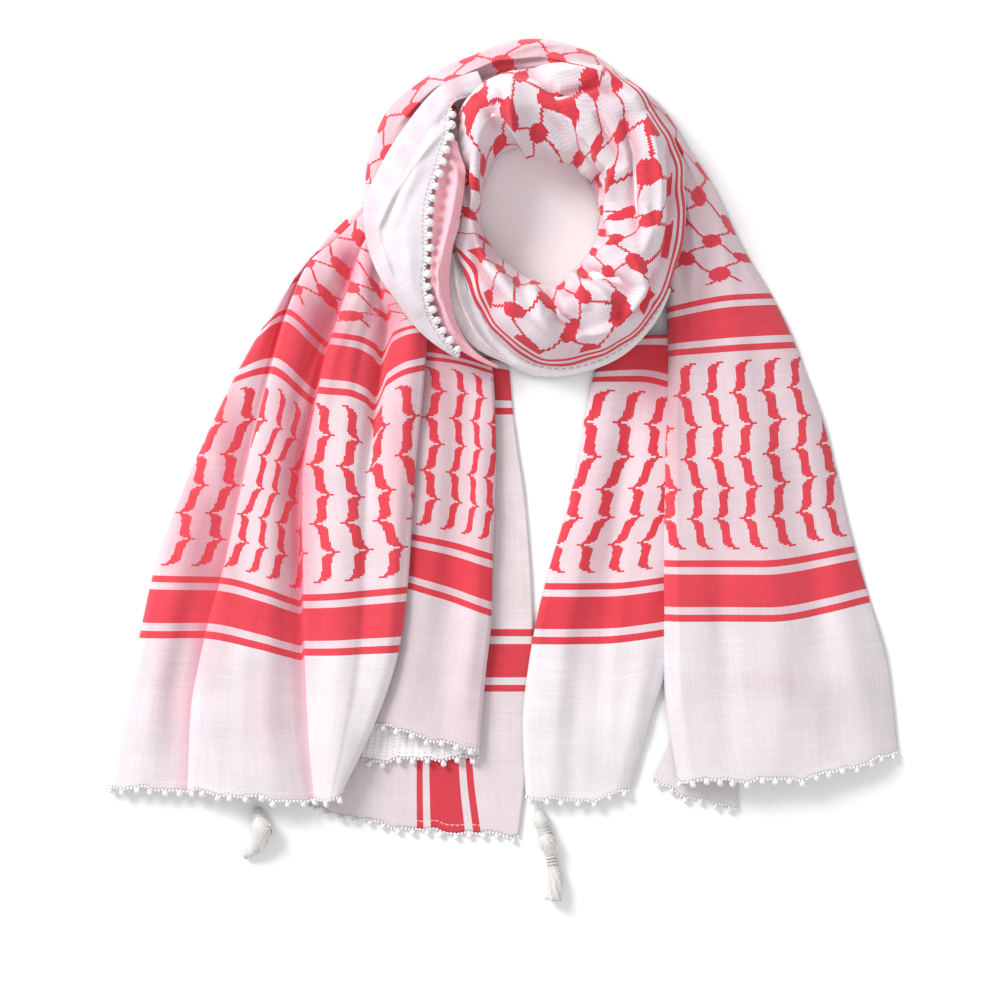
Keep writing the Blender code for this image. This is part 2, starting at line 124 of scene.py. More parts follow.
def smooth(knots: Sequence, values: Sequence, at: np.ndarray) -> np.ndarray:
    """Cubic through the knots with limited slopes, so it never overshoots far.

    Args:
        knots: Rising places of the known values.
        values: Values at the knots.
        at: Places to read.

    Returns:
        Values at those places.
    """
    knots = np.asarray(knots, dtype=float)
    values = np.asarray(values, dtype=float)
    steps = np.diff(knots)
    slopes = np.diff(values) / steps
    tangents = np.zeros(len(knots))
    tangents[0] = slopes[0]
    tangents[-1] = slopes[-1]
    for i in range(1, len(knots) - 1):
        if slopes[i - 1] * slopes[i] > 0:
            tangents[i] = 2 * slopes[i - 1] * slopes[i] / (slopes[i - 1] + slopes[i])
    at = np.clip(np.asarray(at, dtype=float), knots[0], knots[-1])
    cell = np.clip(np.searchsorted(knots, at, side="right") - 1, 0, len(steps) - 1)
    width = steps[cell]
    part = (at - knots[cell]) / width
    square = part * part
    cube = square * part
    return ((2 * cube - 3 * square + 1) * values[cell]
            + (cube - 2 * square + part) * width * tangents[cell]
            + (3 * square - 2 * cube) * values[cell + 1]
            + (cube - square) * width * tangents[cell + 1])


def surface(rows: Sequence[Row], stations: Sequence, at: np.ndarray, across: np.ndarray,
            period: float = 0.0) -> np.ndarray:
    """Read a table of rows and stations on a fine grid.

    Args:
        rows: Table rows, each with a value per station.
        stations: Place of each column across the cloth.
        at: Fine places along the cloth.
        across: Fine places across the cloth.
        period: Length after which the rows repeat, or zero.

    Returns:
        Array of values, one row per place along and one column per place across.
    """
    if len(rows) == 1:
        line = smooth(stations, rows[0].values, across)
        return np.repeat(line[None, :], len(at), axis=0)
    knots = [row.at for row in rows]
    coarse = []
    for column in range(len(stations)):
        values = [row.values[column] for row in rows]
        if period:
            wide = [k - period for k in knots] + knots + [k + period for k in knots]
            coarse.append(smooth(wide, values * 3, at))
        else:
            coarse.append(smooth(knots, values, at))
    table = np.array(coarse).T
    return np.array([smooth(stations, line, across) for line in table])


def fold_rise(x: np.ndarray, y: np.ndarray, folds: Sequence[Fold]) -> np.ndarray:
    """Height that a set of creases adds at points in plan.

    Args:
        x: Plan positions across, in millimetres.
        y: Plan positions along, in millimetres.
        folds: Creases, each with its own line, rise and widths.

    Returns:
        Added height at every point.
    """
    total = np.zeros_like(x)
    for fold in folds:
        points = np.array(fold.line, dtype=float)
        runs = np.diff(points, axis=0)
        lengths = np.hypot(runs[:, 0], runs[:, 1])
        ends = np.concatenate(([0.0], np.cumsum(lengths)))
        best = np.full(x.shape, 1e9)
        side = np.zeros_like(x)
        along = np.zeros_like(x)
        for i, (run, length) in enumerate(zip(runs, lengths)):
            dx = x - points[i, 0]
            dy = y - points[i, 1]
            part = np.clip((dx * run[0] + dy * run[1]) / length ** 2, 0, 1)
            away = np.hypot(dx - part * run[0], dy - part * run[1])
            near = away < best
            best = np.where(near, away, best)
            side = np.where(near, np.sign(run[0] * dy - run[1] * dx), side)
            along = np.where(near, (ends[i] + part * length) / ends[-1], along)
        taper = np.clip(np.sin(np.pi * np.clip(along, 0.0, 1.0)), 0, 1) ** 0.6
        if fold.kind is FoldKind.SOFT:
            shape = np.exp(-(best / fold.width) ** 2)
        else:
            width = np.where(side > 0, fold.width, fold.sharp)
            shape = np.exp(-(best / width) ** 1.4)
        total += fold.rise * taper * shape
    return total


def ripple(x: np.ndarray, y: np.ndarray, seed: int, rise: float, length: float) -> np.ndarray:
    """Slight uneven waviness of limp cotton.

    Args:
        x: Plan positions across.
        y: Plan positions along.
        seed: Seed of the wave directions.
        rise: Largest height of the waves.
        length: Usual wave length.

    Returns:
        Height at every point.
    """
    draw = np.random.RandomState(seed)
    total = np.zeros_like(x)
    for _ in range(9):
        turn = draw.uniform(0, np.pi)
        size = length * draw.uniform(0.6, 1.7)
        phase = draw.uniform(0, 2 * np.pi)
        total += np.sin(2 * np.pi * (x * np.cos(turn) + y * np.sin(turn)) / size + phase)
    return rise * total / 4.0


def polar(angle: np.ndarray, radius: np.ndarray) -> tuple:
    """Point in plan at an angle and radius about the middle of the neck opening."""
    turn = np.radians(angle)
    return NECK[0] + radius * np.cos(turn), NECK[1] + radius * np.sin(turn)


def round_line(pairs: Sequence) -> tuple:
    """Crease line given as (angle, radius) pairs about the neck opening."""
    return tuple(tuple(float(c) for c in polar(a, r)) for a, r in pairs)


# ---------------------------------------------------------------- finishes

def add_node(tree: bpy.types.NodeTree, kind: str, links: dict = None,
             **settings: object) -> bpy.types.Node:
    """Add one node with its settings and inputs.

    Args:
        tree: Node tree that gets it.
        kind: Node type.
        links: Input name or index to a socket to link or a value to set.
        **settings: Properties of the node.

    Returns:
        The new node.
    """
    node = tree.nodes.new(kind)
    for name, value in settings.items():
        setattr(node, name, value)
    for place, value in (links or {}).items():
        socket = node.inputs[place]
        if isinstance(value, bpy.types.NodeSocket):
            tree.links.new(value, socket)
        else:
            socket.default_value = value
    return node


def run_steps(tree: bpy.types.NodeTree, steps: Sequence, known: dict) -> dict:
    """Work out a weaving chart written as rows of (result, operation, operands).

    Args:
        tree: Node tree that gets the nodes.
        steps: Chart rows; an operand is a number or the name of an earlier result.
        known: Named sockets to start from.

    Returns:
        All named sockets, the chart's results added.
    """
    for result, operation, *operands in steps:
        links = {i: known[o] if isinstance(o, str) else o for i, o in enumerate(operands)}
        node = add_node(tree, "ShaderNodeMath", links, operation=operation)
        known[result] = node.outputs[0]
    return known


def shaded(colour: tuple, factor: float) -> tuple:
    """Darker tone of a colour."""
    return tuple(c * factor for c in colour[:3]) + (1.0,)


def start_material(name: str, looks: dict) -> tuple:
    """Start a material.

    Args:
        name: Name of the material.
        looks: Values of the shader's inputs by name.

    Returns:
        The material, its node tree and its shader.
    """
    material = bpy.data.materials.new(name)
    material.use_nodes = True
    shader = material.node_tree.nodes["Principled BSDF"]
    for socket, value in looks.items():
        shader.inputs[socket].default_value = value
    return material, material.node_tree, shader


# ---------------------------------------------------------------- weaving charts, millimetres

TURN = 6.28318           # one full turn of a sine
PICK = 1.3               # the pattern steps in picks, which gives its jagged edges
END = 0.9                # warp step, finer than the pick
WEAVE = 2.0              # thread pair; really 1.2 mm, drawn coarser so that it shows
WOVEN_FROM = 106.0       # above this, red floats on the back warm the white ground
BLUSH = 0.24             # how much they warm it
BLUSH_TINT = "FFA9B8"
GAP_SHADE = "B3A9AD"     # what shows through the openings of the crochet
HEM_AT = 6.0             # hem stitching above the cloth's edge
STITCH = 3.4             # from stitch to stitch along a hem
STEP_ROWS = (
    ("u_n", "DIVIDE", "u", END), ("u_f", "FLOOR", "u_n"),
    ("cu", "MULTIPLY_ADD", "u_f", END, END / 2),
    ("v_n", "DIVIDE", "v", PICK), ("v_f", "FLOOR", "v_n"),
    ("cv", "MULTIPLY_ADD", "v_f", PICK, PICK / 2),
)

# Stripe groups: thin, gap, broad, gap, thin. An end border has two, mirrored about its middle.
BROAD_HALF = 10.9
THIN_AT = 18.05
THIN_HALF = 2.25
BORDER_MIDDLE = 209.35
BORDER_HALF = 86.0
SIDE_MIDDLE = 65.35      # middle of the group along the selvedge


def stripe_group(result: str, across: str) -> tuple:
    """Chart of one stripe group.

    Args:
        result: Name of the group's area.
        across: Name of the distance from the group's middle line.

    Returns:
        Chart rows.
    """
    away, broad, off, size, thin = (result + part for part in "01234")
    return (
        (away, "ABSOLUTE", across), (broad, "LESS_THAN", away, BROAD_HALF),
        (off, "SUBTRACT", away, THIN_AT), (size, "ABSOLUTE", off),
        (thin, "LESS_THAN", size, THIN_HALF), (result, "MAXIMUM", broad, thin),
    )


END_STRIPES = (
    ("g0", "SUBTRACT", "v", BORDER_MIDDLE), ("g1", "ABSOLUTE", "g0"),
    ("g2", "SUBTRACT", "g1", BORDER_HALF), *stripe_group("ends", "g2"),
)
SIDE_STRIPES = (("s0", "SUBTRACT", "u", SIDE_MIDDLE), *stripe_group("sides", "s0"))

# Wave columns every 18 mm: six bars of 19.5 mm whose joints point left and right by turns.
COLUMN_PITCH = 18.0
COLUMN_SHIFT = 180.0     # ten whole pitches, so that their places are never negative
COLUMN_FOOT = 151.45
BAR_LENGTH = 19.5
COLUMN_TOP = COLUMN_FOOT + 6 * BAR_LENGTH
BAR_CAP = 0.7            # how far the end joints reach past a column
WAVE_COLUMNS = (
    ("w", "ADD", "cu", COLUMN_SHIFT), ("w0", "MODULO", "w", COLUMN_PITCH),
    ("w1", "SUBTRACT", "w0", COLUMN_PITCH / 2),
    ("j0", "SUBTRACT", "cv", COLUMN_FOOT), ("j1", "DIVIDE", "j0", BAR_LENGTH),
    ("j2", "ROUND", "j1"), ("j3", "SUBTRACT", "j1", "j2"), ("j4", "ABSOLUTE", "j3"),
    ("e", "MULTIPLY", "j4", BAR_LENGTH), ("p0", "MODULO", "j2", 2.0),
    ("p1", "ABSOLUTE", "p0"), ("p2", "MULTIPLY_ADD", "p1", -2.0, 1.0),
    ("w2", "MULTIPLY", "w1", "p2"), ("w3", "MULTIPLY", "w2", "hand"),
    ("c0", "MULTIPLY_ADD", "e", -0.082, 0.8), ("x", "SUBTRACT", "w3", "c0"),
    ("r0", "MULTIPLY", "e", -0.62), ("r1", "EXPONENT", "r0"),
    ("r2", "MULTIPLY_ADD", "r1", 4.6, 2.9),
    ("l0", "MULTIPLY", "e", -0.8), ("l1", "EXPONENT", "l0"),
    ("l2", "MULTIPLY_ADD", "l1", 6.0, -3.1),
    ("in_r", "LESS_THAN", "x", "r2"), ("in_l", "GREATER_THAN", "x", "l2"),
    ("low", "GREATER_THAN", "v", COLUMN_FOOT - BAR_CAP),
    ("high", "LESS_THAN", "v", COLUMN_TOP + BAR_CAP),
    ("b0", "MULTIPLY", "in_r", "in_l"), ("b1", "MULTIPLY", "low", "high"),
    ("bars", "MULTIPLY", "b0", "b1"),
)

# Net field: leaves on a staggered grid of 23.4 by 17.5 mm half pitches, tied by thin S-lines.
NET_U = 23.4
NET_V = 17.5
NET_FOOT = 335.0
NET_LEAD = 8.5           # the lowest leaves reach this far below the net's foot
LEAF_LONG = 7.6
LEAF_WIDE = 5.3
VINE_SWING = 0.055       # of the S-lines, in parts of the leaf pitch
VINE_HALF = 0.037
NET_FIELD = (
    ("nu", "MULTIPLY", "cu", "net_scale"), ("nv", "MULTIPLY", "cv", "net_scale"),
    ("n0", "DIVIDE", "nu", NET_U), ("n1", "SUBTRACT", "nv", NET_FOOT),
    ("n2", "DIVIDE", "n1", NET_V),
    ("n3", "ADD", "n0", "n2"), ("s", "MULTIPLY", "n3", 0.5),
    ("n4", "SUBTRACT", "n0", "n2"), ("t", "MULTIPLY", "n4", 0.5),
    ("sr", "ROUND", "s"), ("tr", "ROUND", "t"), ("sf", "SUBTRACT", "s", "sr"),
    ("tf", "SUBTRACT", "t", "tr"),
    ("d0", "ADD", "sf", "tf"), ("du", "MULTIPLY", "d0", NET_U),
    ("d1", "SUBTRACT", "sf", "tf"), ("dv", "MULTIPLY", "d1", NET_V),
    ("q0", "ADD", "sr", "tr"), ("q1", "MODULO", "q0", 2.0), ("q2", "ABSOLUTE", "q1"),
    ("turn", "MULTIPLY_ADD", "q2", -2.0, 1.0),
    ("a0", "MULTIPLY", "dv", 0.5), ("a1", "MULTIPLY", "a0", "turn"),
    ("a2", "MULTIPLY_ADD", "du", 0.86, "a1"), ("a3", "MULTIPLY", "du", -0.5),
    ("a4", "MULTIPLY", "a3", "turn"), ("a5", "MULTIPLY_ADD", "dv", 0.86, "a4"),
    ("a6", "DIVIDE", "a2", "leaf_long"), ("a7", "ABSOLUTE", "a6"), ("a8", "POWER", "a7", 2.4),
    ("a9", "DIVIDE", "a5", "leaf_wide"), ("a10", "ABSOLUTE", "a9"), ("a11", "POWER", "a10", 2.0),
    ("a12", "ADD", "a8", "a11"), ("leaf", "LESS_THAN", "a12", 1.0),
    ("k0", "MULTIPLY", "s", TURN), ("k1", "SINE", "k0"),
    ("k2", "MULTIPLY_ADD", "k1", VINE_SWING, "tf"), ("k3", "ABSOLUTE", "k2"),
    ("k4", "LESS_THAN", "k3", VINE_HALF), ("m0", "MULTIPLY", "t", TURN), ("m1", "SINE", "m0"),
    ("m2", "MULTIPLY_ADD", "m1", -VINE_SWING, "sf"), ("m3", "ABSOLUTE", "m2"),
    ("m4", "LESS_THAN", "m3", VINE_HALF),
    ("f0", "MAXIMUM", "leaf", "k4"), ("f1", "MAXIMUM", "f0", "m4"),
    ("f2", "GREATER_THAN", "v", NET_FOOT - NET_LEAD), ("f3", "MULTIPLY", "f1", "f2"),
    ("f4", "GREATER_THAN", "u", "net_from"), ("net", "MULTIPLY", "f3", "f4"),
)

# Roll: two thin stripes by its edge, then the net. 14 leaf pitches are laid round it where 12 of
# 35 mm would fit, so the net is drawn at 12/14 of its real size, 30 mm from leaf to leaf.
ROLL_NET_FROM = 19.5     # where the net begins, from the edge
ROLL_ROUND = 420         # cloth coordinate taken up once round
ROLL_NET_SCALE = 14 * 35 / ROLL_ROUND
ROLL_STRIPES = (
    ("y0", "SUBTRACT", "u", 9.6), ("y1", "ABSOLUTE", "y0"), ("y2", "LESS_THAN", "y1", 1.9),
    ("y3", "SUBTRACT", "u", 15.6), ("y4", "ABSOLUTE", "y3"), ("y5", "LESS_THAN", "y4", 1.3),
    ("edges", "MAXIMUM", "y2", "y5"),
)

# Crocheted lace: rows of small openings 4.2 mm apart, an opening every 2.6 mm along.
LACE_ROWS = (
    ("o0", "DIVIDE", "u", 4.2), ("o1", "FRACT", "o0"), ("o2", "SUBTRACT", "o1", 0.5),
    ("o3", "ABSOLUTE", "o2"), ("o4", "LESS_THAN", "o3", 0.14),
    ("o5", "MULTIPLY", "v", TURN / 2.6), ("o6", "SINE", "o5"), ("o7", "GREATER_THAN", "o6", 0.0),
    ("o8", "MULTIPLY", "o4", "o7"), ("gaps", "MULTIPLY", "o8", 0.45),
)

# Foundation row of an edging: a broken line of tiny openings a little inside the cloth's edge.
HOLE_ROWS = (
    ("o0", "SUBTRACT", "u", "hole_at"), ("o1", "ABSOLUTE", "o0"), ("o4", "LESS_THAN", "o1", 0.55),
    ("o5", "MULTIPLY", "v", TURN / 3.2), ("o6", "SINE", "o5"), ("o7", "GREATER_THAN", "o6", -0.4),
    ("o8", "MULTIPLY", "o4", "o7"), ("gaps", "MULTIPLY", "o8", 0.7),
)


@dataclass(frozen=True)
class Cotton:
    """Plain-weave cotton, matt with a faint fibre sheen, white with its pattern in red.

    A pair of threads takes up about 1.2 mm; the weave is drawn at 2.0 mm so that it shows.
    """

    name: str
    white: str = "EEE4E9"
    red: str = "EC4351"
    # Pink multiplied in where the tint attribute is strong: red below showing through, and painted
    # shade.
    show_through_and_shade: str = "F3A9B8"
    ends: bool = True
    waves: bool = True
    net: bool = True
    side: bool = False
    roll: bool = False
    hand: float = 1.0
    heather: str = ""
    lace: bool = False
    hole_at: float = 0.0
    net_scale: float = 1.0
    leaf: float = 1.12

    def make(self) -> bpy.types.Material:
        """Build the material.

        Returns:
            Material that reads the sheet's own UV map and its attribute of pink show-through and
            painted shade.
        """
        material, tree, shader = start_material(self.name, {
            "Roughness": 0.88, "Specular IOR Level": 0.22,
            "Sheen Weight": 0.18, "Sheen Roughness": 0.55})
        cloth = add_node(tree, "ShaderNodeUVMap", uv_map="cloth")
        place = add_node(tree, "ShaderNodeSeparateXYZ", {0: cloth.outputs[0]})
        known = {"u_m": place.outputs[0], "v_m": place.outputs[1], "hand": self.hand,
                 "net_scale": self.net_scale, "net_from": ROLL_NET_FROM if self.roll else -1e6,
                 "leaf_long": LEAF_LONG * self.leaf, "leaf_wide": LEAF_WIDE * self.leaf,
                 "hole_at": self.hole_at}
        run_steps(tree, (("u", "MULTIPLY", "u_m", 1000.0), ("v", "MULTIPLY", "v_m", 1000.0)), known)
        run_steps(tree, STEP_ROWS, known)
        red = self._pattern(tree, known)
        colour = self._colour(tree, known, red)
        tree.links.new(colour, shader.inputs["Base Color"])
        tree.links.new(self._relief(tree, known, red), shader.inputs["Normal"])
        return material

    def _pattern(self, tree: bpy.types.NodeTree, known: dict) -> bpy.types.NodeSocket:
        """Chart the red areas.

        Args:
            tree: Node tree that gets the nodes.
            known: Named sockets of the cloth's coordinates.

        Returns:
            Socket that is one where the cloth is red.
        """
        charts = ((self.ends, END_STRIPES, "ends"), (self.waves, WAVE_COLUMNS, "bars"),
                  (self.roll, ROLL_STRIPES, "edges"), (self.net, NET_FIELD, "net"),
                  (self.side, SIDE_STRIPES, "sides"))
        parts = [run_steps(tree, steps, known)[area] for worn, steps, area in charts if worn]
        if not parts:
            return run_steps(tree, (("none", "MULTIPLY", "u", 0.0),), known)["none"]
        total = parts[0]
        for part in parts[1:]:
            total = add_node(tree, "ShaderNodeMath", {0: total, 1: part},
                             operation="MAXIMUM").outputs[0]
        return total

    def _colour(self, tree: bpy.types.NodeTree, known: dict,
                red: bpy.types.NodeSocket) -> bpy.types.NodeSocket:
        """Colour of the yarns, with thread shading, soft unevenness and a pink tint that is partly
        red showing through and partly painted shade.

        Args:
            tree: Node tree that gets the nodes.
            known: Named sockets of the cloth's coordinates.
            red: Socket that is one where the cloth is red.

        Returns:
            Socket of the finished colour.
        """
        # Clouds are about 26 mm wide and slubs 2.4 mm; streaks are a thread wide and 45 mm long.
        place = add_node(tree, "ShaderNodeTexCoord").outputs["Object"]
        cloud = add_node(tree, "ShaderNodeTexNoise",
                         {"Vector": place, "Scale": 38.0, "Detail": 3.0, "Roughness": 0.6})
        slub = add_node(tree, "ShaderNodeTexNoise",
                        {"Vector": place, "Scale": 420.0, "Detail": 2.0, "Roughness": 0.7})
        run_steps(tree, (
            ("wu", "MULTIPLY", "u", TURN / WEAVE), ("ws", "SINE", "wu"),
            ("wv", "MULTIPLY", "v", TURN / WEAVE), ("wt", "SINE", "wv"),
            ("wm", "MULTIPLY", "ws", "wt"), ("weave", "MULTIPLY_ADD", "wm", 0.5, 0.5),
        ), known)
        cloth = add_node(tree, "ShaderNodeUVMap", uv_map="cloth").outputs[0]
        warp = add_node(tree, "ShaderNodeMapping", {"Vector": cloth, "Scale": (900.0, 22.0, 1.0)})
        weft = add_node(tree, "ShaderNodeMapping", {"Vector": cloth, "Scale": (22.0, 900.0, 1.0)})
        ends = add_node(tree, "ShaderNodeTexNoise",
                        {"Vector": warp.outputs[0], "Scale": 1.0, "Detail": 1.0})
        picks = add_node(tree, "ShaderNodeTexNoise",
                         {"Vector": weft.outputs[0], "Scale": 1.0, "Detail": 1.0})
        streaks = add_node(tree, "ShaderNodeMath", {0: ends.outputs[0], 1: picks.outputs[0]},
                           operation="MULTIPLY")
        uneven = add_node(tree, "ShaderNodeMapRange",
                          {0: streaks.outputs[0], 1: 0.12, 2: 0.40, 3: 0.94, 4: 1.03})
        # Tint attribute: pink of red cloth showing through, and painted shade in folds, troughs and
        # pleats.
        show_through_and_shade = add_node(tree, "ShaderNodeAttribute", attribute_name="show_through_and_shade")
        white = linear_rgb(self.white)
        thread = add_node(tree, "ShaderNodeMix",
                          {0: known["weave"], 6: shaded(white, 0.82), 7: white}, data_type="RGBA")
        if self.waves:
            run_steps(tree, (
                ("woven", "GREATER_THAN", "v", WOVEN_FROM), ("blush", "MULTIPLY", "woven", BLUSH),
            ), known)
            thread = add_node(tree, "ShaderNodeMix",
                              {0: known["blush"], 6: thread.outputs[2], 7: linear_rgb(BLUSH_TINT)},
                              data_type="RGBA", blend_type="MULTIPLY")
        tinted = add_node(tree, "ShaderNodeMix",
                          {0: show_through_and_shade.outputs["Fac"], 6: thread.outputs[2], 7: linear_rgb(self.show_through_and_shade)},
                          data_type="RGBA", blend_type="MULTIPLY")
        base = tinted.outputs[2]
        if self.heather:
            run_steps(tree, (
                ("h0", "MULTIPLY", "v", TURN / 2.6), ("h1", "SINE", "h0"),
                ("h2", "MULTIPLY_ADD", "h1", 0.16, 0.5),
            ), known)
            mix = add_node(tree, "ShaderNodeMath", {0: known["h2"], 1: slub.outputs[0]},
                           operation="MULTIPLY")
            base = add_node(tree, "ShaderNodeMix",
                            {0: mix.outputs[0], 6: linear_rgb(self.heather), 7: base},
                            data_type="RGBA").outputs[2]
        if self.lace or self.hole_at:
            run_steps(tree, HOLE_ROWS if self.hole_at else LACE_ROWS, known)
            base = add_node(tree, "ShaderNodeMix",
                            {0: known["gaps"], 6: base, 7: linear_rgb(GAP_SHADE)},
                            data_type="RGBA").outputs[2]
        scarlet = linear_rgb(self.red)
        yarn = add_node(tree, "ShaderNodeMix",
                        {0: slub.outputs[0], 6: shaded(scarlet, 0.80), 7: scarlet},
                        data_type="RGBA")
        run_steps(tree, (("rw", "MULTIPLY_ADD", "weave", 0.22, 0.80),), known)
        float_yarn = add_node(tree, "ShaderNodeVectorMath",
                              {0: yarn.outputs[2], "Scale": known["rw"]}, operation="SCALE")
        both = add_node(tree, "ShaderNodeMix", {0: red, 6: base, 7: float_yarn.outputs[0]},
                        data_type="RGBA")
        run_steps(tree, (
            ("t0", "SUBTRACT", "v", HEM_AT), ("t1", "ABSOLUTE", "t0"),
            ("t2", "LESS_THAN", "t1", 0.45), ("t3", "MULTIPLY", "u", TURN / STITCH),
            ("t4", "SINE", "t3"), ("t5", "GREATER_THAN", "t4", -0.6),
            ("t6", "MULTIPLY", "t2", "t5"),
            ("stitch", "MULTIPLY", "t6", 0.6),
        ), known)
        both = add_node(tree, "ShaderNodeMix",
                        {0: known["stitch"], 6: both.outputs[2], 7: white}, data_type="RGBA")
        soft = add_node(tree, "ShaderNodeMapRange",
                        {0: cloud.outputs[0], 1: 0.3, 2: 0.7, 3: 0.95, 4: 1.03})
        light = add_node(tree, "ShaderNodeMath", {0: soft.outputs[0], 1: uneven.outputs[0]},
                         operation="MULTIPLY")
        return add_node(tree, "ShaderNodeVectorMath",
                        {0: both.outputs[2], "Scale": light.outputs[0]},
                        operation="SCALE").outputs[0]

    def _relief(self, tree: bpy.types.NodeTree, known: dict,
                red: bpy.types.NodeSocket) -> bpy.types.NodeSocket:
        """Bump of the threads, the raised red floats and the hem stitching.

        Args:
            tree: Node tree that gets the nodes.
            known: Named sockets of the cloth's coordinates.
            red: Socket that is one where the cloth is red.

        Returns:
            Normal socket.
        """
        run_steps(tree, (
            ("hem0", "SUBTRACT", "v", HEM_AT), ("hem1", "ABSOLUTE", "hem0"),
            ("hem", "LESS_THAN", "hem1", 0.6), ("lift0", "MULTIPLY", "hem", -0.8),
            ("lift1", "ADD", "lift0", "weave"),
        ), known)
        lift = add_node(tree, "ShaderNodeMath", {0: red, 1: 0.5, 2: known["lift1"]},
                        operation="MULTIPLY_ADD")
        bump = add_node(tree, "ShaderNodeBump",
                        {"Strength": 0.35, "Distance": 0.00035, "Height": lift.outputs[0]})
        return bump.outputs[0]


def plain_cotton(name: str, white: str, **looks: object) -> Cotton:
    """Cotton without any of its red pattern."""
    return Cotton(name, white, ends=False, waves=False, net=False, **looks)


@dataclass(frozen=True)
class Yarn:
    """Crochet or tassel yarn: matt white cotton cord whose plies show as fine slanted ridges."""

    name: str
    colour: str = "F9F7F8"
    ply_mm: float = 1.1

    def make(self) -> bpy.types.Material:
        """Build the material from object coordinates.

        Returns:
            The material.
        """
        material, tree, shader = start_material(self.name, {
            "Roughness": 0.9, "Specular IOR Level": 0.2, "Sheen Weight": 0.25})
        place = add_node(tree, "ShaderNodeTexCoord").outputs["Object"]
        turned = add_node(tree, "ShaderNodeMapping",
                          {"Vector": place, "Rotation": (0.3, 0.2, 0.6)})
        plies = add_node(tree, "ShaderNodeTexWave",
                         {"Vector": turned.outputs[0], "Scale": 0.314 / (self.ply_mm * MM),
                          "Distortion": 6.0, "Detail": 2.0, "Detail Scale": 1.5})
        colour = linear_rgb(self.colour)
        mix = add_node(tree, "ShaderNodeMix",
                       {0: plies.outputs["Fac"], 6: shaded(colour, 0.82), 7: colour},
                       data_type="RGBA")
        tree.links.new(mix.outputs[2], shader.inputs["Base Color"])
        bump = add_node(tree, "ShaderNodeBump",
                        {"Strength": 0.6, "Distance": 0.0005, "Height": plies.outputs["Fac"]})
        tree.links.new(bump.outputs[0], shader.inputs["Normal"])
        return material


# ---------------------------------------------------------------- sheets

@dataclass
class SheetForm:
    """Fine grid of one stretch: its points, its cloth coordinates and its pink tint, partly
    show-through and partly painted shade.
    """

    points: np.ndarray
    cloth: np.ndarray
    show_through_and_shade: np.ndarray
    closed: bool = False


@dataclass(frozen=True)
class Cut:
    """How a stretch is held and what it lies on."""

    held: str
    rests_on: tuple = ()


class ShowThroughAndShade(NamedTuple):
    """Soft patch of pink tint: red cloth below showing through the white, and painted shade in
    folds.
    """

    x: float
    y: float
    reach_x: float
    reach_y: float
    strength: float


def mesh_from_grid(name: str, form: SheetForm) -> bpy.types.Mesh:
    """Bend a bmesh grid onto a sheet's form.

    Args:
        name: Name of the mesh.
        form: Points, cloth coordinates and pink tint (show-through and painted shade) of the sheet.

    Returns:
        Mesh with its cloth UV map and its attribute of show-through and painted shade.
    """
    rows, columns = form.points.shape[:2]
    grid = bmesh.new()
    bmesh.ops.create_grid(grid, x_segments=columns - 1, y_segments=rows - 1, size=1.0)
    mesh = bpy.data.meshes.new(name)
    grid.to_mesh(mesh)
    grid.free()
    mesh.vertices.foreach_set("co", (form.points * MM).astype(np.float32).ravel())
    corners = np.empty(len(mesh.loops), dtype=np.int32)
    mesh.loops.foreach_get("vertex_index", corners)
    flat_uv = (form.cloth * MM).reshape(-1, 2)[corners]
    layer = mesh.uv_layers.new(name="cloth")
    layer.data.foreach_set("uv", flat_uv.astype(np.float32).ravel())
    # Pink tint per point: red below showing through, and painted shade.
    attribute = mesh.attributes.new("show_through_and_shade", "FLOAT", "POINT")
    attribute.data.foreach_set("value", np.clip(form.show_through_and_shade, 0, 1).astype(np.float32).ravel())
    if form.closed:
        welded = bmesh.new()
        welded.from_mesh(mesh)
        bmesh.ops.remove_doubles(welded, verts=welded.verts[:], dist=0.00001)
        welded.to_mesh(mesh)
        welded.free()
    mesh.update()
    return mesh


def place_piece(name: str, mesh: bpy.types.Mesh, material: bpy.types.Material,
                finish: Finish, *nodes: str) -> bpy.types.Object:
    """Put a finished mesh in the scene as a piece of the scarf.

    Args:
        name: Name of the piece.
        mesh: Its mesh, already in place.
        material: Its material.
        finish: Record's slot of its finish; not used.
        *nodes: CAD nodes that it stands for.

    Returns:
        The piece.
    """
    piece = bpy.data.objects.new(name, mesh)
    bpy.context.scene.collection.objects.link(piece)
    piece.data.materials.append(material)
    piece.data.polygons.foreach_set("use_smooth", [True] * len(piece.data.polygons))
    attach(piece, ROOT)
    if nodes:
        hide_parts(*nodes)
    return piece


def show_through_and_shade_at(x: np.ndarray, y: np.ndarray, patches: Sequence[ShowThroughAndShade]) -> np.ndarray:
    """Strength of the pink tint at points in plan: red showing through, and painted shade.

    Args:
        x: Plan positions across.
        y: Plan positions along.
        patches: Patches of show-through and painted shade.

    Returns:
        Strength at every point, the strongest patch holding.
    """
    total = np.zeros_like(x)
    for patch in patches:
        away = ((x - patch.x) / patch.reach_x) ** 2 + ((y - patch.y) / patch.reach_y) ** 2
        total = np.maximum(total, patch.strength * np.exp(-away))
    return total


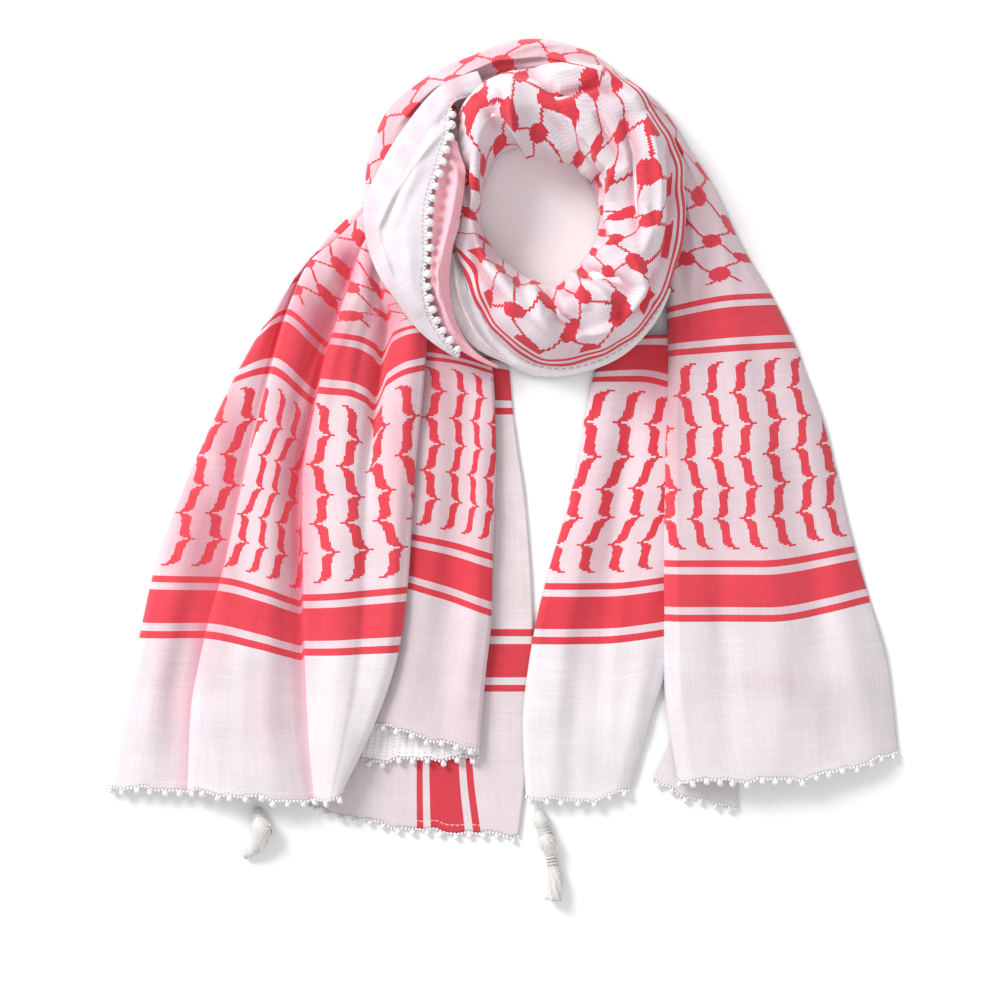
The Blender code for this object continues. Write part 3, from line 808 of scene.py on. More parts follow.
@dataclass
class Stretch:
    """One stretch of cloth that shows."""

    name: str
    node: str
    cotton: Cotton
    cut: Cut
    cells: tuple
    stations: tuple
    relief: tuple
    creases: tuple = ()
    show_through_and_shade_patches: tuple = ()
    wave: tuple = (1, 0.35, 46.0)
    valleys: tuple = ()
    form: SheetForm = None
    piece: bpy.types.Object = None

    @property
    def finish(self) -> Finish:
        """Slot of the record that stands for the cloth's finish."""
        plain = self.node in ("left_back", "collar", "white_fold")
        return Finish.WHITE if plain else Finish.PATTERN

    def plan(self, at: np.ndarray, across: np.ndarray) -> tuple:
        """Plan positions of the fine grid."""
        raise NotImplementedError

    def cloth(self, at: np.ndarray, across: np.ndarray) -> tuple:
        """Cloth coordinates of the fine grid."""
        raise NotImplementedError

    def span(self) -> tuple:
        """First and last place along the stretch."""
        return self.relief[0].at, self.relief[-1].at

    def shape(self) -> SheetForm:
        """Work out the fine grid of the stretch.

        Returns:
            Form of the stretch, with its creases and ripples.
        """
        first, last = self.span()
        at = np.linspace(first, last, self.cells[0] + 1)
        across = np.linspace(self.stations[0], self.stations[-1], self.cells[1] + 1)
        across = np.unique(np.concatenate((across, np.array(self.stations))))
        x, y = self.plan(at, across)
        z = surface(self.relief, self.stations, at, across)
        z = z + fold_rise(x, y, self.creases)
        seed, rise, length = self.wave
        z = np.maximum(z + ripple(x, y, seed, rise, length),
                       LOWEST + LOWEST_RAISED * (z > 1.2))
        u, v = self.cloth(at, across)
        # Pink tint from the patches: red below showing through, and painted shade.
        show_through_and_shade = show_through_and_shade_at(x, y, self.show_through_and_shade_patches)
        # Painted shade: pink darkening in the fold just short of each pleat's edge, fading away
        # from it.
        for valley in self.valleys:
            short = valley - across
            fading = np.exp(-np.abs(short) / VALLEY_REACH)
            show_through_and_shade = show_through_and_shade + VALLEY_SHADE * np.where(short > 0, fading, 0.0)
        self.form = SheetForm(np.stack((x, y, z), axis=-1), np.stack((u, v), axis=-1),
                              np.clip(show_through_and_shade, 0.0, 1.0))
        return self.form

    def build(self) -> bpy.types.Object:
        """Make the sheet and give it its thickness.

        Returns:
            The finished piece.
        """
        form = self.shape()
        mesh = mesh_from_grid(self.name, form)
        self.piece = place_piece(self.name, mesh, self.cotton.make(), self.finish, self.node)
        wall = self.piece.modifiers.new("cloth", "SOLIDIFY")
        wall.thickness = CLOTH_THICK * MM
        wall.offset = -1.0
        return self.piece

    def declare(self, *trims: bpy.types.Object) -> None:
        """Do nothing with the sheet's edgings; no cut is stated.

        Args:
            *trims: Edgings worked onto the sheet; not used.
        """


@dataclass
class TailStretch(Stretch):
    """Pleated stretch of a tail: fold lines up the cloth, stations between them."""

    folds: tuple = ()
    unroll: tuple = ()
    drift: tuple = ()
    unroll_at: tuple = ()

    def plan(self, at: np.ndarray, across: np.ndarray) -> tuple:
        """Plan positions from the fold lines.

        Args:
            at: Fine places along the stretch.
            across: Fine places across it.

        Returns:
            Positions across and along, one of each per grid point.
        """
        count = len(self.folds[0].values)
        ids = tuple(range(count))
        x_rows = [Row(r.at, tuple(p[0] for p in r.values)) for r in self.folds]
        y_rows = [Row(r.at, tuple(p[1] for p in r.values)) for r in self.folds]
        x, y = surface(x_rows, ids, at, across), surface(y_rows, ids, at, across)
        low = np.exp(-((at - at[0]) / HEM_REACH) ** 2)[:, None]
        wander = np.random.RandomState(len(self.name)).uniform(0, 6.28, 3)
        for turn, size, reach in zip(wander, (11.0, 19.0, 37.0), (0.35, 0.6, 0.9)):
            y = y + low * reach * np.sin(6.28 * x / size + turn)
        return x, y

    def cloth(self, at: np.ndarray, across: np.ndarray) -> tuple:
        """Cloth coordinates: across by the unroll table, up by place and drift.

        Args:
            at: Fine places along the stretch.
            across: Fine places across it.

        Returns:
            Cloth coordinates across and along the cloth.
        """
        u = surface(self.unroll, self.unroll_at or self.stations, at, across)
        v = np.repeat(at[:, None], len(across), axis=1)
        if self.drift:
            v = v + surface(self.drift, self.stations, at, across)
        return u, v


@dataclass
class RingStretch(Stretch):
    """Stretch that lies round the neck opening: rows by angle, stations by radius."""

    radii: tuple = ()
    pace: float = 1.2
    start: float = 500.0

    def plan(self, at: np.ndarray, across: np.ndarray) -> tuple:
        """Plan positions from the radius table."""
        radius = surface(self.radii, self.stations, at, across)
        return polar(np.repeat(at[:, None], len(across), axis=1), radius)

    def cloth(self, at: np.ndarray, across: np.ndarray) -> tuple:
        """Cloth coordinates: across by length over the form, along by angle.

        Args:
            at: Fine places along the stretch.
            across: Fine places across it.

        Returns:
            Cloth coordinates across and along the cloth.
        """
        radius = surface(self.radii, self.stations, at, across)
        rise = surface(self.relief, self.stations, at, across)
        v = self.start + self.pace * np.repeat(at[:, None], len(across), axis=1)
        return self.over(radius, rise), v

    @staticmethod
    def over(radius: np.ndarray, rise: np.ndarray) -> np.ndarray:
        """Length over the form from the first station."""
        steps = np.hypot(np.diff(radius, axis=1), np.diff(rise, axis=1))
        return np.concatenate((np.zeros((len(steps), 1)), np.cumsum(steps, axis=1)), axis=1)


@dataclass
class Roll(RingStretch):
    """Inner roll: closes on itself all the way round the neck opening."""

    tuck: tuple = ()
    depth: float = 1.65
    # Base pink tint of the roll, and painted shade that deepens it in the troughs of the creases
    # and lightens it on their ridges.
    show_through_and_shade: float = 0.10
    trough_shade: float = 0.16
    wander_across: tuple = (22, 3.4, 58.0)   # seed, rise and length of the pattern's drift
    wander_along: tuple = (21, 4.6, 64.0)

    def shape(self) -> SheetForm:
        """Work out the closed grid with its creases laid along the surface.

        Returns:
            Closed form of the roll.
        """
        at = np.linspace(0, 360, self.cells[0] + 1)
        across = np.linspace(self.stations[0], self.stations[-1], self.cells[1] + 1)
        radius = surface(self.radii, self.stations, at, across, 360.0)
        rise = surface(self.relief, self.stations, at, across, 360.0)
        angle = np.repeat(at[:, None], len(across), axis=1)
        x, y = polar(angle, radius)
        run = self.over(radius, rise)
        u = run[:, -1:] - run + surface(self.tuck, (0, 1), at, np.zeros(1), 360.0)
        u = u + ripple(x, y, *self.wander_across)
        drift = ripple(x, y, *self.wander_along)
        drift = drift + 0.45 * (u - ROLL_NET_FROM) * np.sin(np.radians(angle + 50.0))
        bump = self.depth * fold_rise(x, y, self.creases)
        seed, height, length = self.wave
        bump = bump + ripple(x, y, seed, height, length)
        out = np.gradient(rise, axis=1)
        over = np.gradient(radius, axis=1)
        size = np.hypot(out, over) + 1e-9
        low = np.clip((rise - 8.0) / 12.0, 0, 1)
        radius = radius - bump * low * out / size
        rise = np.maximum(rise + bump * low * over / size, 1.2)
        radius[-1] = radius[0]
        rise[-1] = rise[0]
        x, y = polar(angle, radius)
        x[-1], y[-1] = x[0], y[0]
        # The tint carries painted shade: stronger where the creases sink, weaker where they rise.
        self.form = SheetForm(np.stack((x, y, rise), axis=-1),
                              np.stack((u, self.start + self.pace * angle + drift), axis=-1),
                              np.clip(self.show_through_and_shade - self.trough_shade * bump, 0, 0.6), closed=True)
        return self.form


# ---------------------------------------------------------------- edging, lace, tassels

def spread_along(line: np.ndarray, pitch: float) -> np.ndarray:
    """Even places along a line.

    Args:
        line: Points of the line.
        pitch: Distance from place to place.

    Returns:
        Points at those places.
    """
    lengths = np.linalg.norm(np.diff(line, axis=0), axis=1)
    ends = np.concatenate(([0.0], np.cumsum(lengths)))
    count = max(int(ends[-1] / pitch), 2)
    places = (np.arange(count) + 0.5) * ends[-1] / count
    return np.stack([np.interp(places, ends, line[:, k]) for k in range(3)], axis=1)


@dataclass
class PicotEdging:
    """Row of crocheted balls on a short chain beside a cloth edge."""

    name: str
    node: str
    line: np.ndarray
    outward: np.ndarray
    finish: Yarn
    ball: float = 2.05
    pitch: float = PICOT_PITCH
    lift: float = 0.0

    def build(self) -> bpy.types.Object:
        """Make the balls and the chain that carries them.

        Returns:
            The finished piece.
        """
        form = bmesh.new()
        draw = np.random.RandomState(len(self.name))
        for spot, side in self._spots(self.pitch):
            size = self.ball * draw.uniform(0.88, 1.08)
            middle = spot + side * BALL_AWAY + np.array((0, 0, self.lift))
            middle[2] = max(middle[2], size * 0.8)
            self._ball(form, middle, size, draw)
        for spot, side in self._spots(CHAIN_PITCH):
            middle = spot + side * CHAIN_AWAY + np.array((0, 0, self.lift * 0.5))
            middle[2] = max(middle[2], 0.9)
            self._ball(form, middle, CHAIN_SIZE * draw.uniform(0.85, 1.1), draw, 1)
        mesh = bpy.data.meshes.new(self.name)
        form.to_mesh(mesh)
        form.free()
        return place_piece(self.name, mesh, self.finish.make(), Finish.CROCHET, self.node)

    def _spots(self, pitch: float) -> zip:
        """Even places along the edge, each with its outward direction.

        Args:
            pitch: Distance from place to place.

        Returns:
            Pairs of a point and a direction.
        """
        spots = spread_along(self.line, pitch)
        parts = np.arange(len(spots)) / (len(spots) - 1)
        known = np.linspace(0, 1, len(self.outward))
        sides = [np.interp(parts, known, self.outward[:, k]) for k in range(3)]
        return zip(spots, np.stack(sides, axis=1))

    @staticmethod
    def _ball(form: bmesh.types.BMesh, middle: np.ndarray, size: float,
              draw: np.random.RandomState, detail: int = 2) -> None:
        """Add one slightly squashed knot of yarn.

        Args:
            form: Mesh that gets it.
            middle: Its middle, in millimetres.
            size: Its radius.
            draw: Source of its unevenness.
            detail: How often the first icosahedron is divided.
        """
        made = bmesh.ops.create_icosphere(form, subdivisions=detail, radius=size * MM)
        for vert in made["verts"]:
            bend = 1.0 + draw.uniform(-0.06, 0.06)
            vert.co = Vector((vert.co.x * bend, vert.co.y * bend, vert.co.z * 0.82 * bend))
        bmesh.ops.translate(form, verts=made["verts"], vec=Vector(tuple(middle)) * MM)


def outward_of(line: np.ndarray, inner: np.ndarray) -> np.ndarray:
    """Unit vectors in plan pointing away from the cloth along its edge.

    Args:
        line: Points of the edge.
        inner: Points a little way into the cloth.

    Returns:
        Unit vector at each point.
    """
    runs = np.gradient(line, axis=0)
    side = np.stack((runs[:, 1], -runs[:, 0], np.zeros(len(line))), axis=1)
    side /= np.linalg.norm(side, axis=1)[:, None] + 1e-9
    facing = np.sign(np.sum(side * (line - inner), axis=1))
    return side * facing[:, None]


def sweep(form: bmesh.types.BMesh, path: np.ndarray, size: np.ndarray, sides: int,
          closed: bool) -> None:
    """Add a round yarn along a path: a grid rolled up and welded.

    Args:
        form: Mesh that gets it.
        path: Points of its middle, in millimetres.
        size: Radius at each point.
        sides: Sides of its section.
        closed: Whether the path comes back to its start.
    """
    run = np.gradient(path, axis=0)
    if closed:
        run[0] = run[-1] = path[1] - path[-2]
    run /= np.linalg.norm(run, axis=1)[:, None] + 1e-9
    level = np.stack((run[:, 1], -run[:, 0], np.zeros(len(path))), axis=1)
    level += np.array((1e-4, 0, 0))
    level /= np.linalg.norm(level, axis=1)[:, None]
    across = np.cross(run, level)
    turn = np.linspace(0, 2 * np.pi, sides + 1)
    points = (path[:, None] + size[:, None, None] * (
        level[:, None] * np.cos(turn)[None, :, None]
        + across[:, None] * np.sin(turn)[None, :, None])) * MM
    made = bmesh.ops.create_grid(form, x_segments=sides, y_segments=len(path) - 1, size=1.0)
    for vert, point in zip(made["verts"], points.reshape(-1, 3)):
        vert.co = Vector(point)


def weld(form: bmesh.types.BMesh) -> None:
    """Close the seams and ends of the yarns in a mesh and turn their faces outwards.

    Args:
        form: Mesh of grids rolled up as yarns.
    """
    bmesh.ops.remove_doubles(form, verts=form.verts[:], dist=0.000002)
    ends = [edge for edge in form.edges if len(edge.link_faces) == 1]
    bmesh.ops.holes_fill(form, edges=ends, sides=0)
    bmesh.ops.recalc_face_normals(form, faces=form.faces[:])


@dataclass
class Tassel:
    """Bound tassel of cotton yarn lying on the surface."""

    name: str
    node: str
    rows: tuple
    twist: float
    strands: int
    finish: Yarn
    bindings: tuple = ()
    steps: int = 34
    core: float = 0.82
    yarn_sides: int = 6
    binding: float = 0.6

    def build(self) -> bpy.types.Object:
        """Lay the strands round the tassel's core and bind its neck.

        Returns:
            The finished piece.
        """
        knots = np.arange(len(self.rows), dtype=float)
        fine = np.linspace(0, knots[-1], self.steps)
        x = smooth(knots, [r[0] for r in self.rows], fine)
        y = smooth(knots, [r[1] for r in self.rows], fine)
        radius = smooth(knots, [r[2] for r in self.rows], fine)
        run = np.stack((np.gradient(x), np.gradient(y)), axis=1)
        run /= np.linalg.norm(run, axis=1)[:, None]
        draw = np.random.RandomState(11)
        form = bmesh.new()
        self._tube(form, x, y, np.maximum(radius * self.core, 0.5), np.zeros(len(x)),
                   2 * self.yarn_sides)
        for strand in range(self.strands):
            start = 2 * np.pi * strand / self.strands + draw.uniform(-0.1, 0.1)
            turn = start + self.twist * fine / knots[-1] * (1 + draw.uniform(-0.08, 0.08))
            reach = radius * draw.uniform(0.80, 0.98)
            side = np.stack((run[:, 1], -run[:, 0]), axis=1)
            px = x + side[:, 0] * reach * np.cos(turn)
            py = y + side[:, 1] * reach * np.cos(turn)
            pz = reach * 0.85 * np.sin(turn)
            self._tube(form, px, py, np.full(len(x), draw.uniform(0.55, 0.8)), pz,
                       self.yarn_sides)
        for place in self.bindings:
            self._ring(form, x, y, radius, fine, place)
        mesh = bpy.data.meshes.new(self.name)
        weld(form)
        form.to_mesh(mesh)
        form.free()
        return place_piece(self.name, mesh, self.finish.make(), Finish.YARN, self.node)

    def _tube(self, form: bmesh.types.BMesh, x: np.ndarray, y: np.ndarray, size: np.ndarray,
              up: np.ndarray, sides: int) -> None:
        """Sweep a small round section along a path that lies on the tassel.

        Args:
            form: Mesh that gets it.
            x: Plan positions across.
            y: Plan positions along.
            size: Radius of the section at each point.
            up: Height of each point over the tassel's middle.
            sides: Sides of the section.
        """
        knots = np.arange(len(self.rows), dtype=float)
        fine = np.linspace(0, knots[-1], len(x))
        own = smooth(knots, [r[2] for r in self.rows], fine)
        centre = np.maximum(own * 0.88, size) + 0.2
        path = np.stack((x, y, np.maximum(centre + up, size + 0.05)), axis=1)
        sweep(form, path, size, sides, False)

    def _ring(self, form: bmesh.types.BMesh, x: np.ndarray, y: np.ndarray, radius: np.ndarray,
              fine: np.ndarray, place: float) -> None:
        """Wind three turns of yarn round the neck at one place.

        Args:
            form: Mesh that gets it.
            x: Plan positions of the middle, across.
            y: Plan positions of the middle, along.
            radius: Radius of the tassel there.
            fine: Places of those points, counted in rows.
            place: Where the binding sits, counted in rows.
        """
        for offset in (-0.16, 0.0, 0.16):
            at = place + offset
            px, py = np.interp(at, fine, x), np.interp(at, fine, y)
            size = np.interp(at, fine, radius) + 0.4
            way = np.array((np.interp(at + 0.1, fine, x) - px, np.interp(at + 0.1, fine, y) - py))
            way /= np.linalg.norm(way)
            turn = np.linspace(0, 2 * np.pi, self.steps // 2)
            path = np.stack((px + way[1] * size * np.cos(turn), py - way[0] * size * np.cos(turn),
                             size * 0.9 + 0.3 + size * 0.88 * np.sin(turn)), axis=1)
            sweep(form, path, np.full(len(turn), self.binding), self.yarn_sides, True)


# ---------------------------------------------------------------- tables, millimetres

def ring_tables(*rows: tuple) -> tuple:
    """Part rows of (angle, radii, rises) into a table of radii and a table of rises."""
    return (tuple(Row(at, radii) for at, radii, _ in rows),
            tuple(Row(at, rises) for at, _, rises in rows))


def level(last: float, *rises: float) -> tuple:
    """Relief that stays the same from the hem to its last place."""
    return Row(0, rises), Row(last, rises)


# The roll stands upright from a foot and its outer edge is turned in and down a little.
ROLL_FOOT = 3
ROLL_SIDE = 0.6          # middle of the upright side, in parts of its height
ROLL_TURN_IN = 3.5
ROLL_TURN_DOWN = 3
ROLL_RADII, ROLL_RISES = ring_tables(*(
    (at, (radii[0], *radii, radii[-1] - ROLL_TURN_IN),
     (ROLL_FOOT, ROLL_SIDE * rises[0], *rises, rises[-1] - ROLL_TURN_DOWN))
    for at, radii, rises in (
        (0, (40, 47, 64, 82, 95), (32, 49, 43, 27)),
        (30, (40, 44, 66, 86, 100), (32, 48, 42, 26)),
        (60, (42, 44, 66, 86, 101), (30, 46, 40, 26)),
        (90, (44, 47, 65, 80, 92), (30, 46, 40, 28)),
        (120, (45, 53, 64, 75, 85), (32, 45, 42, 32)),
        (143, (40, 44, 49, 56, 63), (34, 42, 38, 30)),
        (153, (38, 41, 45, 48.5, 56), (33, 40, 36, 29)),
        (165, (38, 40, 43, 46.5, 54), (33, 38, 35, 28)),
        (190, (37, 39, 42.5, 47, 55), (33, 38, 35, 28)),
        (215, (36, 39, 45, 52, 59), (31, 39, 37, 31)),
        (240, (38, 42, 52, 64, 75), (28, 41, 37, 27)),
        (265, (44, 48, 60, 80, 95), (28, 43, 36, 15)),
        (285, (49, 52, 66, 88, 102), (30, 45, 35, 13)),
        (305, (44, 50, 68, 90, 103), (31, 47, 38, 18)),
        (330, (42, 49, 68, 86, 98), (32, 49, 43, 26)))))
COLLAR_RADII, COLLAR_RISES = ring_tables(
    (113, (79, 84, 91, 97), (27, 28, 28, 27)),
    (120, (84, 88, 93, 99), (27, 28, 28, 27)),
    (127, (86, 90, 96, 101), (36, 35, 31, 27)),
    (144, (72, 81, 92, 100), (43, 43, 35, 27)),
    (162, (68, 79, 94, 104), (45, 45, 34, 20)),
    (180, (70, 83, 101, 112), (45, 45, 32, 12)),
    (200, (75, 86, 101, 110), (44, 44, 34, 21)),
    (214, (87, 93, 102, 107), (41, 40, 33, 24)),
    (228, (98, 101, 105, 108), (33, 32, 29, 25)),
    (242, (106, 106.5, 107, 107.5), (26, 25.5, 25, 24)))
PINK_FOLD_RADII, PINK_FOLD_RISES = ring_tables(
    (140, (66, 71, 76, 82), (37, 38, 37, 35)),
    (153, (51, 60, 69, 78), (38, 40, 39, 35)),
    (170, (47.5, 57, 67, 77), (38, 41, 39, 35)),
    (190, (50, 60, 70, 80), (37, 40, 38, 34)),
    (206, (60, 68, 77, 87), (35, 39, 37, 34)),
    (221, (74, 80, 88, 97), (30, 34, 32, 29)),
    (233, (87, 92, 97, 101), (25, 29, 28, 26)),
    (246, (98, 99.4, 101, 102.6), (20, 22, 22, 21)),
    (256, (102, 102.6, 103.2, 103.8), (15, 17, 16, 12)))
WHITE_FOLD_RADII, WHITE_FOLD_RISES = ring_tables(
    (207, (54, 57, 60, 64), (23, 24, 26, 28)),
    (221, (56, 63, 69, 76), (22, 26, 28, 26)),
    (233, (62, 70, 78, 87), (19, 24, 24, 21)),
    (246, (74, 82, 90, 96), (14, 20, 20, 16)),
    (258, (84, 91, 96, 99), (8, 14, 13, 11)),
    (270, (92, 97, 101, 105), (8, 10, 9, 3)),
    (284, (96, 100, 104, 107), (8, 9, 8, 3)),
    (298, (97, 101, 105, 108), (12, 13, 12, 11)),
    (315, (95, 98, 102, 105), (17, 17, 16, 14)),
    (330, (91, 94, 97, 100), (21, 21, 20, 19)))
LEFT_FRONT_FOLDS = (
    Row(0, ((-258, -205), (-204, -207), (-122, -214), (-104, -209))),
    Row(62, ((-248, -156), (-202, -158), (-126, -166), (-84, -168))),
    Row(103, ((-236, -109), (-193, -109), (-128, -120), (-67, -118))),
    Row(144, ((-227, -68), (-182, -69), (-129, -80), (-61, -75))),
    Row(210, ((-206, -10), (-169, -10), (-130, -16), (-57, -12))),
    Row(275, ((-176, 56), (-151, 62), (-120, 48), (-50, 64))),
    Row(316, ((-156, 92), (-139, 104), (-110, 88), (-48, 94))),
    Row(370, ((-132, 127), (-126, 133), (-100, 118), (-62, 108))),
    Row(412, ((-112, 152), (-107, 150), (-92, 142), (-70, 130))),
    Row(446, ((-90, 174), (-87, 170), (-81, 162), (-73, 154))),
)
LEFT_SIDE_FOLDS = (
    Row(0, ((-91, -160), (-52, -172), (-15, -182))),
    Row(62, ((-80, -114), (-44, -122), (-11, -134))),
    Row(103, ((-74, -73), (-38, -84), (-7, -95))),
    Row(144, ((-70, -39), (-34, -46), (-6, -54))),
    Row(210, ((-67, 18), (-31, 16), (-4, 12))),
    Row(275, ((-64, 72), (-32, 69), (-6, 62))),
    Row(300, ((-60, 88), (-34, 80), (-8, 72))),
)
LEFT_BACK_FOLDS = (
    Row(0, ((-92, -188), (-15, -186))),
    Row(30, ((-88, -160), (-14, -158))),
)
LEFT_UNDER_FOLDS = (
    Row(0, ((-126, -218), (-55, -233), (11, -237))),
    Row(62, ((-112, -176), (-48, -182), (17, -184))),
    Row(103, ((-100, -143), (-42, -144), (19, -144))),
    Row(144, ((-84, -103), (-34, -103), (20, -103))),
    Row(210, ((-70, -32), (-28, -31), (16, -31))),
    Row(275, ((-58, 36), (-26, 36), (7, 36))),
    Row(312, ((-50, 80), (-22, 76), (4, 70))),
)
RIGHT_UNDER_FOLDS = (
    Row(0, ((15, -211), (48, -214), (83, -207))),
    Row(62, ((13, -164), (52, -165), (98, -156))),
    Row(103, ((19, -113), (60, -113), (112, -107))),
    Row(144, ((28, -73), (68, -73), (113, -68))),
    Row(210, ((45, -13), (80, -12), (114, -10))),
    Row(275, ((58, 57), (88, 57), (115, 51))),
    Row(314, ((66, 80), (92, 87), (116, 88))),
)
RIGHT_FLAP_FOLDS = (
    Row(0, ((97, -201), (126, -213), (153, -219))),
    Row(34, ((108, -176), (132, -182), (154, -188))),
)
LEFT_SIDE_STATIONS = (0, 0.3, 0.7, 1, 1.3, 1.7, 1.92, 2)
LEFT_SIDE_RELIEF = (
    Row(0, (6, 7, 9, 8, 7, 9, 8, 6)),
    Row(150, (6, 7, 9, 7, 7, 10, 9, 6)),
    Row(300, (6, 7, 8, 7, 7, 8, 8, 6)),
)
LEFT_BACK_STATIONS = (0, 0.25, 0.5, 0.75, 1)
LEFT_BACK_RELIEF = level(30, 3, 3.2, 3, 3.2, 3)
LEFT_UNDER_STATIONS = (0, 0.5, 1, 1.5, 2)
LEFT_UNDER_RELIEF = level(312, 1.2, 1.2, 1.2, 1.2, 1.2)
RIGHT_UNDER_STATIONS = (0, 0.12, 0.5, 0.9, 1.3, 1.7, 1.9, 2)
RIGHT_UNDER_RELIEF = (
    Row(0, (3, 6, 7, 5, 6, 6, 4, 2)),
    Row(103, (3, 6, 8, 5, 7, 7, 5, 3)),
    Row(150, (1.3, 6, 8, 5, 7, 7, 5, 3)),
    Row(314, (2, 5, 7, 6, 7, 7, 6, 5)),
)
RIGHT_FLAP_STATIONS = (0, 0.5, 1, 1.5, 2)
RIGHT_FLAP_RELIEF = level(34, 1.6, 2.2, 1.6, 2.2, 1.6)


def spoke(at: float, angle: float, inner: float, outer: float) -> Row:
    """Row where a stretch rounds the ring: its fold lines lie on one spoke.

    Args:
        at: Distance up the cloth.
        angle: Direction of the spoke.
        inner: Radius of the inner fold line.
        outer: Radius of the outer fold line.

    Returns:
        Row of three points.
    """
    radii = (inner, 0.5 * (inner + outer), outer)
    return Row(at, tuple(tuple(float(c) for c in polar(angle, r)) for r in radii))


RIGHT_WRAP_FOLDS = (
    Row(0, ((113, -200), (184, -199), (257, -183))),
    Row(62, ((105, -143), (178, -141), (251, -131))),
    Row(103, ((104, -98), (172, -98), (239, -86))),
    Row(144, ((104, -58), (166, -58), (228, -49))),
    Row(210, ((105, 6), (158, 9), (212, 18))),
    Row(275, ((107, 73), (149, 76), (191, 79))),
    Row(316, ((106, 105), (140, 112), (174, 115))),
    Row(345, ((105, 129), (133, 132), (162, 134))),
    spoke(378, -7, 86, 132), spoke(410, 8, 86, 117), spoke(440, 24, 88, 107.5),
    spoke(472, 42, 91, 107), spoke(502, 58, 90, 106), spoke(530, 74, 82, 111),
    spoke(562, 92, 80, 113.8), spoke(595, 112, 81, 111), spoke(630, 130, 84, 114),
    spoke(664, 148, 86, 117.5), spoke(700, 165, 91, 114), spoke(712, 170, 94, 113),
)
RIGHT_WRAP_STATIONS = (0, 0.06, 0.15, 0.5, 1.0, 1.4, 1.75, 1.92, 2.0)
RIGHT_WRAP_RELIEF = (
    Row(0, (4, 10, 14, 15, 14.5, 12, 9, 5, 1.6)),
    Row(150, (5, 12, 17, 17, 17, 14, 10, 5, 1.6)),
    Row(316, (8, 14, 17, 18, 19, 16, 11, 6, 1.8)),
    Row(378, (18, 18.5, 19, 21, 21, 18, 12, 6, 2)),
    Row(440, (20, 20.5, 21, 21, 20, 17, 11, 7, 3)),
    Row(530, (20, 21, 22, 23, 22, 19, 12, 7, 3)),
    Row(595, (20, 21, 22, 22, 22, 20, 13, 7, 3)),
    Row(664, (20, 20.5, 21, 21, 20, 17, 11, 6, 3)),
    Row(712, (12, 12, 12, 12, 11, 9, 7, 5, 3)),
)
RIGHT_WRAP_UNROLL_AT = (0, 0.33, 0.65, 0.98, 1.33, 1.68, 1.90, 2.0)
RIGHT_WRAP_UNROLL = (
    Row(0, (-22, 1.3, 25.2, 49.1, 72.9, 96.8, 115.4, 122)),
    Row(170, (-14, 5.7, 25.9, 46, 66.1, 86.3, 102, 107.6)),
    Row(210, (-8.6, 9, 27, 45, 63, 81, 95, 100)),
    Row(262, (-1.2, 13.2, 27.9, 42.6, 57.3, 72.1, 83.5, 87.6)),
    Row(316, (6, 17.3, 29, 40.6, 52.1, 63.8, 72.8, 76)),
    Row(345, (8, 19, 30, 41, 53, 65, 73, 76)),
    Row(378, (16, 25, 33, 42, 52, 63, 71, 75)),
    Row(440, (26, 31, 37, 43, 51, 61, 69, 73)),
    Row(530, (24, 30, 37, 44, 52, 62, 70, 74)),
    Row(712, (26, 31, 37, 44, 52, 61, 68, 71)),
)

LEFT_FRONT_STATIONS = (0, 0.04, 0.14, 0.5, 0.85, 0.97, 0.995, 1.015, 1.12, 1.35, 1.6, 1.85, 1.97,
                       1.995, 2.015, 2.12, 2.35, 2.52, 2.6, 2.68, 2.85, 2.97, 3.0)
LEFT_FRONT_RELIEF = (
    Row(0, (1.3, 3.5, 6, 7.5, 6.8, 6.4, 6.4, 9, 12, 14.5, 14, 10.5, 8.2,
            8.6, 11, 13, 15, 16, 16, 16, 15.5, 13, 11)),
    Row(60, (1.3, 4, 7, 9, 7.2, 6.6, 6.6, 10.5, 14, 17, 16, 11, 8.4,
             8.8, 12, 14.5, 17.5, 18.5, 18, 18, 17, 14, 11)),
    Row(150, (1.3, 4.5, 7.5, 9.5, 7.4, 6.7, 6.8, 11.5, 15.5, 18, 17, 11.5, 8.2,
              9, 13, 15.5, 18.5, 19, 18, 18.5, 18, 14, 11)),
    Row(220, (1.3, 4.5, 7.5, 9.5, 7.6, 6.7, 6.9, 12, 16, 18, 17, 11.5, 8,
              9, 13.5, 16.5, 19, 17.5, 14, 17.5, 18.5, 14.5, 11)),
    Row(285, (1.3, 4.5, 8, 10, 8, 6.7, 7, 12.5, 16.5, 18, 16.5, 11, 7.5,
              9, 14, 17.5, 19, 13, 7, 14.5, 19, 15.5, 11)),
    Row(330, (1.5, 4.5, 7.5, 9.5, 8, 6, 7.5, 12, 16, 17.5, 16, 11, 8,
              9, 13.5, 17, 18, 12, 8, 14, 18, 15, 11)),
    Row(372, (2, 4, 6.5, 8, 7.5, 6.5, 7.5, 10.5, 13, 14.5, 14, 11, 9,
              9.5, 12.5, 15, 16, 13, 11, 14, 16, 14, 11)),
    Row(412, (3, 4.5, 6, 7, 7.5, 7.5, 8, 9, 10, 11, 11.5, 11, 10.5,
              10.5, 11.5, 12.5, 13, 12.5, 12, 12.5, 13, 12, 10)),
    Row(446, (3, 3.5, 4, 5, 5, 5, 5, 5.3, 5.6, 6, 6.5, 7, 7,
              7, 7.2, 7.4, 7.6, 7.8, 7.8, 8, 8, 8, 8)),
)
LEFT_FRONT_HANGING = (-1.6, -0.6, 2.8, 17, 31, 36, 38, 56.6, 61.8, 75.2, 92, 108.9, 116.4,
                      118, 121.5, 126.8, 140.4, 150.6, 155.3, 160, 169.8, 176.8, 178.6)
